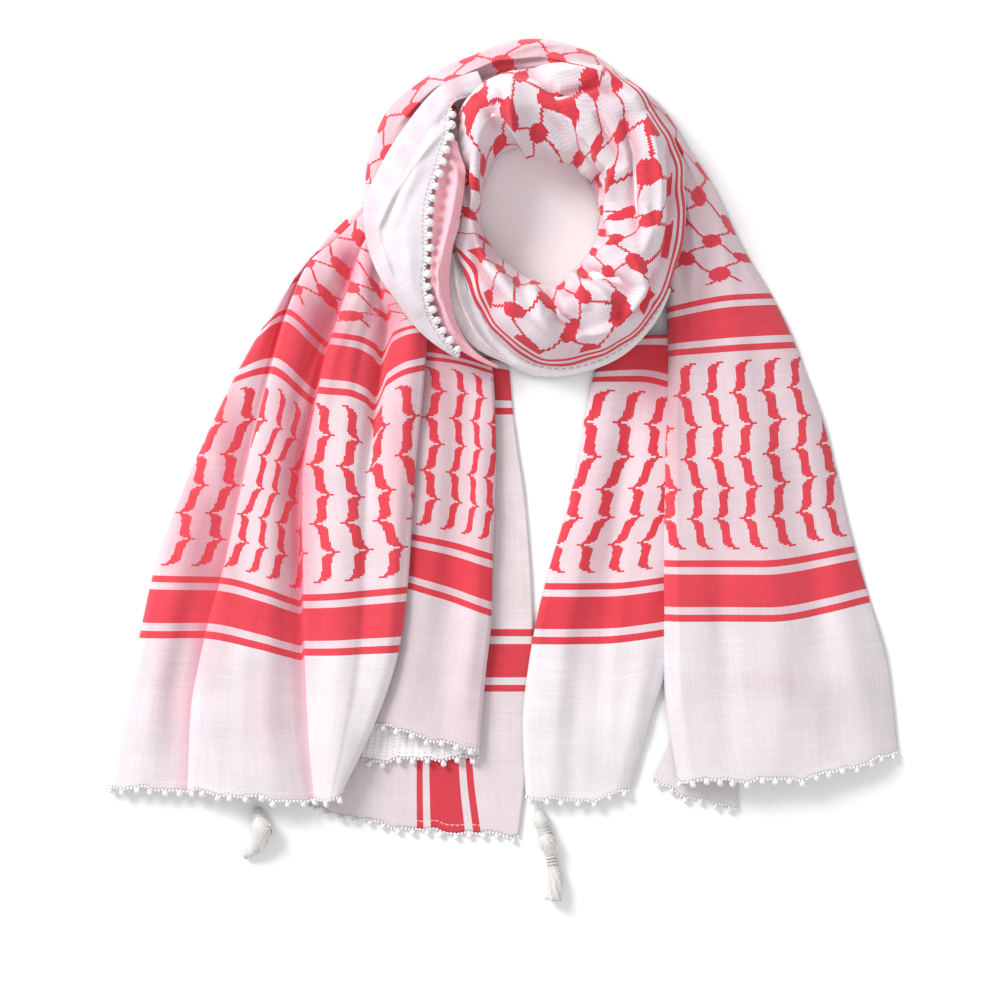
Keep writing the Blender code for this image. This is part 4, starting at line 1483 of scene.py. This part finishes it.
LEFT_FRONT_UNROLL = (
    Row(0, LEFT_FRONT_HANGING), Row(150, LEFT_FRONT_HANGING),
    Row(268, (9, 10, 12.6, 22, 31, 34, 36, 44, 47.5, 57, 70, 84, 91,
              100, 127.8, 133, 147, 160, 168, 175, 188, 197, 199)),
    Row(316, (14, 15, 17, 23, 29, 31, 33, 47, 50, 58, 67, 77, 83,
              92, 130, 135, 147, 158, 166, 172, 184, 192, 194)),
    Row(370, (20, 21, 22, 25, 28, 29, 31, 49, 51, 58, 66, 74, 79,
              86, 141, 144, 153, 162, 168, 173, 178, 181, 182)),
    Row(412, (22, 22.5, 23, 25, 27, 28, 29, 55, 56.5, 61, 66, 70, 73,
              80, 151, 153, 158, 162, 165, 168, 171, 173, 174)),
    Row(446, (23, 23.4, 24, 25, 26, 26.5, 27, 60, 60.5, 62, 64, 66, 67,
              70, 157, 158, 160, 162, 163, 164, 165, 165.6, 166)),
)
LEFT_FRONT_GATHERED = (0,) * 10 + (1, 4, 6, -1, -1, 0, 4, 12, 19, 4, 0, 0, 0)
LEFT_FRONT_DRIFT = (
    Row(0, (0,) * 23), Row(180, (0,) * 11 + (3, 5) + (0,) * 10),
    Row(275, LEFT_FRONT_GATHERED), Row(330, LEFT_FRONT_GATHERED), Row(446, (0,) * 23),
)

LEFT_SIDE_UNROLL = (
    Row(0, (162, 178, 199, 212, 226, 242, 249, 252)),
    Row(150, (165, 178, 195, 207, 220, 238, 247, 250)),
    Row(300, (168, 177, 190, 199, 210, 224, 231, 234)),
)
LEFT_BACK_UNROLL = (Row(0, (150, 169, 188, 207, 226)),)
LEFT_UNDER_UNROLL = (
    Row(0, (160, 125, 85, 52, 23)),
    Row(62, (150, 116, 77, 41, 14)),
    Row(103, (150, 118, 72, 38, 14)),
    Row(312, (112, 96, 66, 36, 20)),
)
RIGHT_UNDER_UNROLL = (
    Row(0, (6, 10, 22, 35, 49, 63, 70, 74)),
    Row(103, (4.5, 9.5, 25.5, 42.5, 60.5, 80.5, 90.5, 95.5)),
    Row(144, (7.3, 11.7, 25.5, 40.7, 57.1, 75.1, 84.1, 88.5)),
    Row(268, (3.5, 6.7, 16.6, 27, 38.2, 49.5, 55, 58)),
    Row(314, (8, 11, 20, 30, 40, 50, 55, 58)),
)
RIGHT_FLAP_UNROLL = (Row(0, (300, 316, 332, 348, 364)),)

TASSEL_LEFT = ((-159, -219.5, 2.0), (-158, -224, 3.2), (-156, -232, 8.0), (-158, -240, 6.0),
               (-163, -247, 4.0), (-168, -251, 2.0))
TASSEL_RIGHT = ((23, -221, 2.0), (25, -228, 5.0), (27, -234, 3.6), (29, -241, 6.2),
                (32, -253, 3.2), (34, -266, 5.0), (33, -279, 5.4))


# ---------------------------------------------------------------- hidden layers and stage

@dataclass
class HiddenLayers:
    """Wound or pleated cloth under what shows: the frame's rounded body, smoothed as cloth."""

    node: str
    finish: Cotton
    merge: float = 0.00002   # metres
    foot: float = 0.0008     # metres; what lies lower stays flat on the floor
    rounds: int = 2

    def build(self, nodes: dict) -> bpy.types.Object:
        """Copy the body, merge it, soften its facets and dress it as cotton.

        Args:
            nodes: Frame's nodes by name.

        Returns:
            The finished piece.
        """
        form = bmesh.new()
        form.from_mesh(nodes[self.node].data)
        bmesh.ops.remove_doubles(form, verts=form.verts[:], dist=self.merge)
        bmesh.ops.join_triangles(form, faces=form.faces[:], angle_face_threshold=0.6,
                                 angle_shape_threshold=0.9)
        bmesh.ops.subdivide_edges(form, edges=form.edges[:], cuts=1, use_grid_fill=True)
        for _ in range(self.rounds):
            upper = [v for v in form.verts if v.co.z > self.foot]
            bmesh.ops.smooth_vert(form, verts=upper, factor=0.3, use_axis_x=True,
                                  use_axis_y=True, use_axis_z=True)
        mesh = bpy.data.meshes.new(self.node + "_layers")
        bmesh.ops.recalc_face_normals(form, faces=form.faces[:])
        form.to_mesh(mesh)
        form.free()
        self._unfold(mesh)
        return place_piece(self.node + "_layers", mesh, self.finish.make(), Finish.WHITE, self.node)

    @staticmethod
    def _unfold(mesh: bpy.types.Mesh) -> None:
        """Give the body cloth coordinates: along from its place round, across from its height.

        Args:
            mesh: Mesh that gets its cloth UV map.
        """
        corners = np.empty(len(mesh.loops), dtype=np.int32)
        mesh.loops.foreach_get("vertex_index", corners)
        points = np.empty(len(mesh.vertices) * 3, dtype=np.float32)
        mesh.vertices.foreach_get("co", points)
        points = points.reshape(-1, 3)
        flat = np.stack((points[:, 0] + points[:, 2], points[:, 1] + 0.6), axis=1)[corners]
        layer = mesh.uv_layers.new(name="cloth")
        layer.data.foreach_set("uv", flat.astype(np.float32).ravel())


@dataclass
class Studio:
    """Pale floor, soft daylight from the upper left and a camera straight above."""

    high: float = 1.8
    look: tuple = (-0.0016, -0.0195)
    lens: float = 99.7
    daylight: float = 0.59
    floor_half: float = 6.0
    floor_gap: float = 0.0005

    def build(self) -> None:
        """Make the floor, the lights, the surroundings and the camera."""
        scene = bpy.context.scene
        scene.view_settings.view_transform = "Standard"
        floor = bmesh.new()
        bmesh.ops.create_grid(floor, x_segments=1, y_segments=1, size=self.floor_half)
        mesh = bpy.data.meshes.new("floor")
        floor.to_mesh(mesh)
        floor.free()
        body = bpy.data.objects.new("floor", mesh)
        body.location.z = -self.floor_gap
        # Matt uncoated paper, so that the floor fades into the pale surroundings.
        paper = start_material("white_paper", {
            "Base Color": linear_rgb("FCFCFC"), "Roughness": 0.95})[0]
        mesh.materials.append(paper)
        scene.collection.objects.link(body)
        world = bpy.data.worlds.new("room_light")
        world.use_nodes = True
        sky = world.node_tree.nodes["Background"]
        sky.inputs["Color"].default_value = (0.98, 0.98, 1.0, 1)
        sky.inputs["Strength"].default_value = self.daylight
        scene.world = world
        self._lamp("window", (-2.4, 2.2, 2.0), size=1.6, power=150.0)
        self._lamp("fill", (0.9, -2.2, 1.8), size=2.2, power=20.0)
        eye = bpy.data.cameras.new("camera")
        eye.lens = self.lens
        eye.sensor_width = 36.0
        camera = bpy.data.objects.new("camera", eye)
        camera.location = (self.look[0], self.look[1], self.high)
        scene.collection.objects.link(camera)
        scene.camera = camera

    @staticmethod
    def _lamp(name: str, place: tuple, size: float, power: float) -> None:
        """Add one square soft lamp that faces the scarf.

        Args:
            name: Name of the lamp.
            place: Where it stands, in metres.
            size: Side of its square, in metres.
            power: Its power, in watts.
        """
        lamp = bpy.data.lights.new(name, "AREA")
        lamp.shape = "SQUARE"
        lamp.size = size
        lamp.energy = power
        body = bpy.data.objects.new(name, lamp)
        body.location = place
        body.rotation_euler = (-Vector(place)).to_track_quat("-Z", "Y").to_euler()
        bpy.context.scene.collection.objects.link(body)


# ---------------------------------------------------------------- the scarf

ROLL_CREASES = (
    Fold(((-21.1, 208), (-14.6, 228.8), (5.5, 243.1), (32.2, 245.7)), 2.4, 6),
    Fold(((5.5, 247), (4.2, 221.7), (14, 208.7), (40.6, 201.5), (58.2, 184.6)), 7.0, 10,
         FoldKind.LAP, 2.0),
    Fold(((-17.9, 237.9), (-6.8, 227.5), (-2.3, 214.5)), -3.0, 4.0),
    Fold(((-12, 243.1), (-1.6, 232.7), (2.3, 222.3)), 2.0, 4.0),
    Fold(((16.6, 256.1), (35.4, 236.6), (60.8, 245.7), (82.9, 236.6)), -3.4, 3.6),
    Fold(((29.6, 250.9), (50.4, 253.5), (71.2, 245.7), (89.4, 228.8)), 3.2, 6, FoldKind.LAP, 2.4),
    Fold(((25.7, 228.2), (38, 213.8), (55.6, 193.7), (65.3, 173.6), (62.7, 143)), -3.4, 3.2),
    Fold(((37.4, 227.5), (56.9, 208), (71.2, 187.2), (73.8, 166.4)), 3.4, 5, FoldKind.LAP, 2.0),
    Fold(((71.2, 191.1), (67.9, 169.7), (74.4, 144.3), (56.9, 128.1)), 4.2, 4.5),
    Fold(((77.7, 227.5), (84.2, 201.5), (81.6, 169), (85.5, 143)), -3.4, 4.0),
    Fold(((89.4, 227.5), (95.9, 201.5), (99.1, 175.5), (95.9, 135.2)), 3.0, 5, FoldKind.LAP, 2.2),
    Fold(((105, 208), (107.6, 175.5), (105, 143), (97.2, 117)), -2.2, 3.2),
    Fold(((80.9, 137.8), (89.4, 115.7), (75.1, 93.6), (43.2, 82.5)), 4.4, 5, FoldKind.LAP, 2.4),
    Fold(((49.1, 130), (71.2, 120.9), (85.5, 110.5)), -3.8, 3.2),
    Fold(((43.9, 123.5), (63.4, 110.5), (71.2, 98.8)), 3.2, 4.0),
    Fold(((97.2, 128.7), (93.3, 107.9), (67.3, 85.8)), -3.4, 3.0),
    Fold(((30.2, 115.7), (36.1, 96.2), (56.9, 81.9)), -3.4, 3.2),
    Fold(((17.9, 117), (24.4, 98.8), (34.8, 84.5)), 3.0, 4.0),
    Fold(((34.8, 131.3), (50.4, 117), (53, 100.1)), 2.6, 3.6),
    Fold(((-14.6, 135.2), (8.1, 107.9), (34.8, 83.2)), 2.8, 4.0),
    Fold(((-21.1, 149.5), (-14.6, 126.1), (3.6, 102.7)), -2.4, 3.0),
    Fold(((-22.4, 201.5), (-23.7, 182), (-21.1, 159.9)), -2.6, 3.0),
    Fold(((-17.2, 208), (-18.5, 185.9), (-15.9, 166.4)), 2.4, 3.2),
    Fold(((64.7, 135.2), (55.6, 122.2), (37.4, 110.5)), -2.6, 3.0),
    Fold(((59.5, 227.5), (67.3, 208), (77.7, 191.1)), -3.0, 3.0),
    Fold(((89.4, 169), (93.3, 152.1), (89.4, 135.2)), 2.4, 3.4),
)
ROLL_TUCK = tuple(Row(at, (value, value)) for at, value in (
    (0, 1), (12, 0), (28, 0), (45, 1), (57, 6), (70, 18), (88, 25), (150, 25), (190, 20),
    (212, 4), (230, 0), (285, 0), (310, 1), (340, 1)))
WRAP_CREASES = (
    Fold(round_line(((150, 106), (130, 103), (105, 100), (88, 99), (70, 99), (52, 98))), 4.2, 6.0,
         FoldKind.LAP, 1.7),
    Fold(round_line(((130, 92), (112, 91), (96, 91), (80, 90))), -3.2, 3.0),
    Fold(round_line(((122, 107), (108, 106), (94, 108), (82, 105))), -2.6, 2.4),
    Fold(round_line(((100, 93), (84, 95), (70, 93))), 2.6, 2.6),
    Fold(round_line(((44, 101), (28, 101), (12, 104), (2, 110))), 4.0, 4.0, FoldKind.LAP, 1.2),
    Fold(((-2.3, 262.6), (23.1, 270.4), (55.6, 262.6), (80.3, 247)), -2.8, 3.0),
    Fold(((-21.1, 258.7), (4.9, 271.7), (37.4, 274.3), (67.3, 262.6)), 2.6, 4.5, FoldKind.LAP, 2.0),
    Fold(((-53.6, 241.8), (-34.1, 254.8), (-8.1, 263.9)), -2.4, 3.6),
    Fold(((-69.2, 222.3), (-53.6, 240.5), (-32.8, 250.9)), 2.2, 4.0),
    Fold(((89.4, 245.7), (105, 227.5), (121.9, 201.5), (132.3, 169)), -2.8, 4.0),
    Fold(((95.9, 221), (112.8, 195), (121.9, 156), (124.5, 117)), 2.6, 5.0, FoldKind.LAP, 2.4),
    Fold(((128.4, 188.5), (144, 156), (157, 123.5)), -2.2, 5.0),
    Fold(((112.8, 143), (118, 110.5), (116.7, 78)), -2.4, 4.0),
    Fold(((146, -198), (144, -120), (138, -30)), -2.6, 9.0),
    Fold(((180, -198), (176, -90), (160, 20), (142, 96)), 2.2, 12.0),
    Fold(((214, -192), (205, -90), (186, 10), (160, 96)), -2.2, 10.0),
    Fold(((236, -188), (226, -120), (210, -60)), 1.8, 9.0),
    Fold(((120, 60), (118, 110), (124, 150)), 1.6, 6.0),
    Fold(((128, 96), (134, 150), (126, 196)), -2.2, 6.0),
    Fold(((150, 100), (146, 130), (138, 170)), 1.6, 5.0),
    Fold(round_line(((60, 99), (84, 97), (108, 96))), -2.4, 4.0),
    Fold(round_line(((108, 100), (130, 100), (152, 104))), 1.8, 6.0),
    Fold(round_line(((83, 103), (112, 107), (136, 110), (161, 113))), -1.8, 4.0),
)
FRONT_CREASES = (
    Fold(((-140, 20), (-126, 66), (-108, 108), (-94, 138)), -2.6, 4.0),
    Fold(((-118, 30), (-108, 74), (-94, 112), (-82, 140)), 2.2, 4.5),
    Fold(((-96, 44), (-90, 84), (-80, 118)), -2.4, 4.0),
    Fold(((-232, -205), (-224, -140), (-208, -60), (-190, 0)), 1.8, 9.0),
    Fold(((-214, -205), (-212, -140), (-200, -70)), -1.4, 6.0),
    Fold(((-176, -210), (-176, -120), (-160, -20), (-140, 60)), -2.0, 8.0),
    Fold(((-150, -212), (-150, -130), (-146, -40)), 1.6, 8.0),
    Fold(((-112, -212), (-108, -130), (-104, -40), (-96, 50)), 1.8, 10.0),
    Fold(((-92, -190), (-90, -110), (-84, -30), (-80, 40)), -2.2, 8.0),
    Fold(((-72, -150), (-70, -80), (-64, 0)), 1.4, 6.0),
    Fold(((-128, 60), (-116, 100), (-98, 140)), -1.8, 5.0),
)
SIDE_CREASES = (
    Fold(((-66, -160), (-58, -90), (-50, 0), (-50, 60)), 1.5, 7.0),
    Fold(((-44, -165), (-34, -90), (-26, 0), (-22, 60)), -2.0, 7.0),
    Fold(((-24, -160), (-18, -80), (-14, 20)), 1.6, 6.0),
)
UNDER_CREASES = (
    Fold(((60, -212), (64, -120), (76, -30), (90, 60)), -2.4, 7.0),
    Fold(((36, -212), (38, -120), (54, -30), (72, 60)), 1.6, 8.0),
    Fold(((82, -205), (92, -110), (100, -20)), 1.6, 7.0),
)
COLLAR_CREASES = (
    Fold(((-52, 98), (-70, 123), (-78, 144), (-79, 154), (-70, 172), (-58, 191), (-36, 216)),
         3.6, 9.0, FoldKind.LAP, 1.6),
    Fold(((-62, 128), (-66, 150), (-60, 170), (-46, 190)), -1.4, 4.0),
    Fold(round_line(((129, 82), (144, 84), (156, 84), (171, 88), (182, 94), (190, 100))),
         -2.6, 3.2),
    Fold(round_line(((174, 92), (187, 100), (200, 101), (209, 102))), 2.2, 5.0),
    Fold(round_line(((135, 92), (150, 94), (165, 96))), 1.2, 5.0),
    Fold(round_line(((170, 104), (185, 108), (200, 108))), -1.4, 4.0),
)
PINK_CREASES = (
    Fold(round_line(((150, 71), (165, 66), (182, 66), (200, 72), (215, 82), (232, 93))), 4.2, 3.4,
         FoldKind.LAP, 1.0),
    Fold(round_line(((196, 66), (208, 72), (222, 84), (236, 94), (248, 100))), 3.4, 2.6,
         FoldKind.LAP, 0.9),
    Fold(((-19, 66), (-33, 89), (-41, 122), (-34, 153), (-26, 180), (-33, 199)),
         4.6, 5.0, FoldKind.LAP, 1.8),
    Fold(((-30, 72), (-44, 96), (-50, 124), (-44, 156), (-38, 184)), -2.6, 2.6),
    Fold(((-12, 70), (-24, 88), (-31, 112), (-28, 140)), 2.8, 3.2, FoldKind.LAP, 1.4),
    Fold(round_line(((150, 58), (165, 53), (185, 54), (205, 64))), 3.2, 2.4),
    Fold(round_line(((160, 68), (180, 70), (205, 80), (225, 90))), 3.0, 3.0),
    Fold(round_line(((142, 72), (160, 62), (180, 60), (200, 68), (220, 82))), -2.2, 3.0),
    Fold(round_line(((150, 64), (170, 56), (190, 57), (210, 72))), 1.2, 3.0),
)
WHITE_CREASES = (
    Fold(round_line(((209, 61), (222, 70), (234, 80), (246, 91), (258, 97))), 3.4, 3.0,
         FoldKind.LAP, 1.2),
    Fold(((-26, 138), (-23, 116), (-12, 96), (4, 80), (20, 72)), 3.2, 2.6, FoldKind.LAP, 1.2),
    Fold(((-30, 132), (-28, 110), (-18, 90), (-4, 74), (12, 66)), 2.4, 2.2, FoldKind.LAP, 1.0),
    Fold(round_line(((212, 57), (226, 63), (239, 77), (250, 90), (262, 98))), -2.0, 2.6),
    Fold(round_line(((214, 54), (226, 58), (240, 70), (255, 84), (270, 95))), 1.2, 2.4),
)
COLLAR_FROM, COLLAR_TO = COLLAR_RADII[0].at, COLLAR_RADII[-1].at
COLLAR_BALLS_FROM = 131  # the balls begin where the collar comes out of the wrap
# Pink tint on the collar's outer band: red below showing through, and painted shade of its fold.
COLLAR_SHOW_THROUGH_AND_SHADE = tuple(ShowThroughAndShade(*polar(angle, radius), 9, 14, 0.42) for angle, radius in (
    (126, 93), (136, 94), (147, 93), (158, 94), (168, 98), (178, 106), (187, 109)))
# Pink tint on the left front: red below showing through, and painted shade beside its pleats and
# folds.
FRONT_SHOW_THROUGH_AND_SHADE = (
    ShowThroughAndShade(-101, 132, 10, 22, 1.0), ShowThroughAndShade(-86, 126, 6, 20, 0.9), ShowThroughAndShade(-113, 150, 12, 20, 0.5),
    ShowThroughAndShade(-84, 60, 7, 34, 0.7), ShowThroughAndShade(-124, 40, 7, 40, 0.6),
    ShowThroughAndShade(-196, -50, 22, 80, 0.7), ShowThroughAndShade(-214, -130, 20, 50, 0.3),
    ShowThroughAndShade(-134, -10, 14, 110, 0.8), ShowThroughAndShade(-120, 90, 26, 36, 0.95), ShowThroughAndShade(-76, 96, 16, 34, 0.85),
    ShowThroughAndShade(-178, 20, 12, 60, 0.7), ShowThroughAndShade(-150, -150, 26, 40, 0.2), ShowThroughAndShade(-66, 10, 12, 60, 0.4),
)
# Pink tint on the right wrap and over the ring: red below showing through, and painted shade in its
# folds.
WRAP_SHOW_THROUGH_AND_SHADE = (
    ShowThroughAndShade(0, 262, 50, 16, 0.6), ShowThroughAndShade(-56, 232, 30, 30, 0.55), ShowThroughAndShade(-76, 196, 16, 26, 0.45),
    ShowThroughAndShade(100, 232, 20, 26, 0.3), ShowThroughAndShade(118, 170, 12, 50, 0.25), ShowThroughAndShade(128, 100, 8, 30, 0.3),
    ShowThroughAndShade(176, -138, 30, 12, 0.2), ShowThroughAndShade(214, -150, 14, 22, 0.16), ShowThroughAndShade(112, 40, 8, 60, 0.5),
    ShowThroughAndShade(-70, 216, 16, 30, 0.5), ShowThroughAndShade(150, -60, 40, 60, 0.14), ShowThroughAndShade(60, 268, 40, 10, 0.3),
)


def stretches() -> tuple:
    """Every stretch of cloth that shows, from the floor up.

    Returns:
        The stretches, ready to build.
    """
    return (
        TailStretch(
            "left_under_cloth", "left_under",
            Cotton("under_tail_cotton", white="E9DBDD", red="E64451", side=True, waves=False),
            Cut("laid"), (120, 60), LEFT_UNDER_STATIONS, LEFT_UNDER_RELIEF,
            wave=(3, 0.25, 50.0), folds=LEFT_UNDER_FOLDS, unroll=LEFT_UNDER_UNROLL),
        TailStretch(
            "left_back_lace", "left_back", plain_cotton("hem_lace_cotton", "FFFAFB", lace=True),
            Cut("laid", ("left_under_cloth",)), (24, 70), LEFT_BACK_STATIONS, LEFT_BACK_RELIEF,
            wave=(4, 0.2, 20.0), folds=LEFT_BACK_FOLDS, unroll=LEFT_BACK_UNROLL),
        TailStretch(
            "right_under_cloth", "right_under", Cotton("right_under_cotton", white="EEE8EC"),
            Cut("laid"), (170, 90), RIGHT_UNDER_STATIONS, RIGHT_UNDER_RELIEF, UNDER_CREASES,
            # Pink tint patches: show-through and painted shade.
            (ShowThroughAndShade(100, 60, 20, 30, 0.6), ShowThroughAndShade(60, -40, 30, 80, 0.2)),
            wave=(5, 0.35, 34.0), folds=RIGHT_UNDER_FOLDS, unroll=RIGHT_UNDER_UNROLL),
        TailStretch(
            "right_flap_cloth", "right_flap", plain_cotton("flap_cotton", "E8E0E3"),
            Cut("laid"), (24, 60), RIGHT_FLAP_STATIONS, RIGHT_FLAP_RELIEF,
            wave=(6, 0.2, 20.0), folds=RIGHT_FLAP_FOLDS, unroll=RIGHT_FLAP_UNROLL),
        TailStretch(
            "left_side_cloth", "left_side", Cotton("left_side_cotton", white="E6D6DB", hand=-1.0),
            Cut("laid", ("left_back_lace", "left_under_cloth")), (150, 80),
            LEFT_SIDE_STATIONS, LEFT_SIDE_RELIEF, SIDE_CREASES,
            # Pink tint patches: show-through and painted shade.
            (ShowThroughAndShade(-20, -140, 14, 40, 0.1), ShowThroughAndShade(-50, 60, 20, 30, 0.5)),
            wave=(7, 0.4, 36.0), folds=LEFT_SIDE_FOLDS, unroll=LEFT_SIDE_UNROLL),
        TailStretch(
            "left_front_cloth", "left_front",
            Cotton("left_front_cotton", white="EFE8EC", red="F34B59", show_through_and_shade="F09DAE", hand=-1.0),
            Cut("gathered", ("left_heap_layers", "left_side_cloth")), (220, 200),
            LEFT_FRONT_STATIONS, LEFT_FRONT_RELIEF, FRONT_CREASES, FRONT_SHOW_THROUGH_AND_SHADE,
            wave=(8, 0.45, 44.0), valleys=(1.0, 2.0), folds=LEFT_FRONT_FOLDS,
            unroll=LEFT_FRONT_UNROLL, drift=LEFT_FRONT_DRIFT),
        TailStretch(
            "right_wrap_cloth", "right_wrap",
            Cotton("right_front_cotton", white="ECE4E8", red="F04957", show_through_and_shade="DC9EAB"),
            Cut("gathered", ("right_heap_layers", "right_under_cloth", "ring_core_layers")),
            (420, 110), RIGHT_WRAP_STATIONS, RIGHT_WRAP_RELIEF, WRAP_CREASES, WRAP_SHOW_THROUGH_AND_SHADE,
            wave=(9, 0.5, 48.0), folds=RIGHT_WRAP_FOLDS, unroll=RIGHT_WRAP_UNROLL,
            unroll_at=RIGHT_WRAP_UNROLL_AT),
        RingStretch(
            "white_fold_cloth", "white_fold",
            plain_cotton("white_fold_cotton", "FAF4F6", hole_at=7.0),
            Cut("gathered", ("ring_core_layers",)), (220, 46), (0, 1, 2, 3), WHITE_FOLD_RISES,
            WHITE_CREASES, wave=(10, 0.25, 16.0), radii=WHITE_FOLD_RADII),
        RingStretch(
            "pink_fold_cloth", "pink_fold",
            plain_cotton("reverse_cotton", "FFF2F4", heather="FFAFBE"),
            Cut("gathered", ("ring_core_layers",)), (160, 48), (0, 1, 2, 3), PINK_FOLD_RISES,
            PINK_CREASES, wave=(11, 0.3, 14.0), radii=PINK_FOLD_RADII),
        RingStretch(
            "collar_cloth", "collar", plain_cotton("collar_cotton", "E9E2E7", hole_at=1.9),
            Cut("gathered", ("right_wrap_cloth", "pink_fold_cloth")), (220, 70), (0, 1, 2, 3),
            COLLAR_RISES, COLLAR_CREASES, COLLAR_SHOW_THROUGH_AND_SHADE, wave=(12, 0.35, 24.0),
            radii=COLLAR_RADII),
        Roll(
            "inner_roll_cloth", "inner_roll",
            Cotton("roll_cotton", white="E9DBE1", red="E4404E", ends=False, waves=False,
                   roll=True, hole_at=3.6, net_scale=ROLL_NET_SCALE, leaf=1.2),
            Cut("gathered", ("ring_core_layers",)), (400, 120), tuple(range(7)), ROLL_RISES,
            ROLL_CREASES, wave=(13, 0.9, 30.0), radii=ROLL_RADII, pace=ROLL_ROUND / 360,
            tuck=ROLL_TUCK),
    )


def edgings(built: dict) -> tuple:
    """Ball edgings beside the hems and the collar.

    Args:
        built: Stretches by name of the node that each stands for.

    Returns:
        The edgings, ready to build.
    """
    crochet = Yarn("crochet_cotton")
    made = []
    for node in ("left_under", "left_back", "right_under", "right_flap", "left_side",
                 "left_front", "right_wrap"):
        points = built[node].form.points
        line = points[0]
        made.append(PicotEdging(node + "_balls", node + "_picots", line,
                                outward_of(line, points[4]), crochet,
                                lift=1.0 if node == "left_back" else 0.0))
    points = built["collar"].form.points
    first = int(len(points) * (COLLAR_BALLS_FROM - COLLAR_FROM) / (COLLAR_TO - COLLAR_FROM))
    line = points[first:, 0]
    made.append(PicotEdging("collar_balls", "collar_picots", line,
                            outward_of(line, points[first:, 6]), crochet, ball=2.75,
                            pitch=8.0, lift=0.8))
    return tuple(made)


def note(piece: bpy.types.Object) -> bpy.types.Object:
    """Log a piece's size and hand it on."""
    LOG.info("%s: %d faces", piece.name, len(piece.data.polygons))
    return piece


def main() -> None:
    """Build the scarf round its frame and set the studio."""
    logging.basicConfig(level=logging.INFO, format="%(message)s")
    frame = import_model()
    built = {}
    for stretch in stretches():
        note(stretch.build())
        built[stretch.node] = stretch
    trims = {edging.node: note(edging.build()) for edging in edgings(built)}
    yarn = Yarn("tassel_cotton", colour="E9E6E2", ply_mm=1.4)
    note(Tassel("tassel_left_yarn", "tassel_left", TASSEL_LEFT, 9.0, 12, yarn, (1.0,)).build())
    note(Tassel("tassel_right_yarn", "tassel_right", TASSEL_RIGHT, 5.0, 12, yarn,
                (2.0, 4.0)).build())
    inner = plain_cotton("inner_layer_cotton", "EDE4E7")
    for node in ("ring_core", "left_heap", "right_heap"):
        note(HiddenLayers(node, inner).build(frame["nodes"]))
    for node, stretch in built.items():
        trim = trims.get(node + "_picots")
        stretch.declare(*([trim] if trim else []))
    Studio().build()
    bpy.context.view_layer.update()


if __name__ == "__main__":
    main()
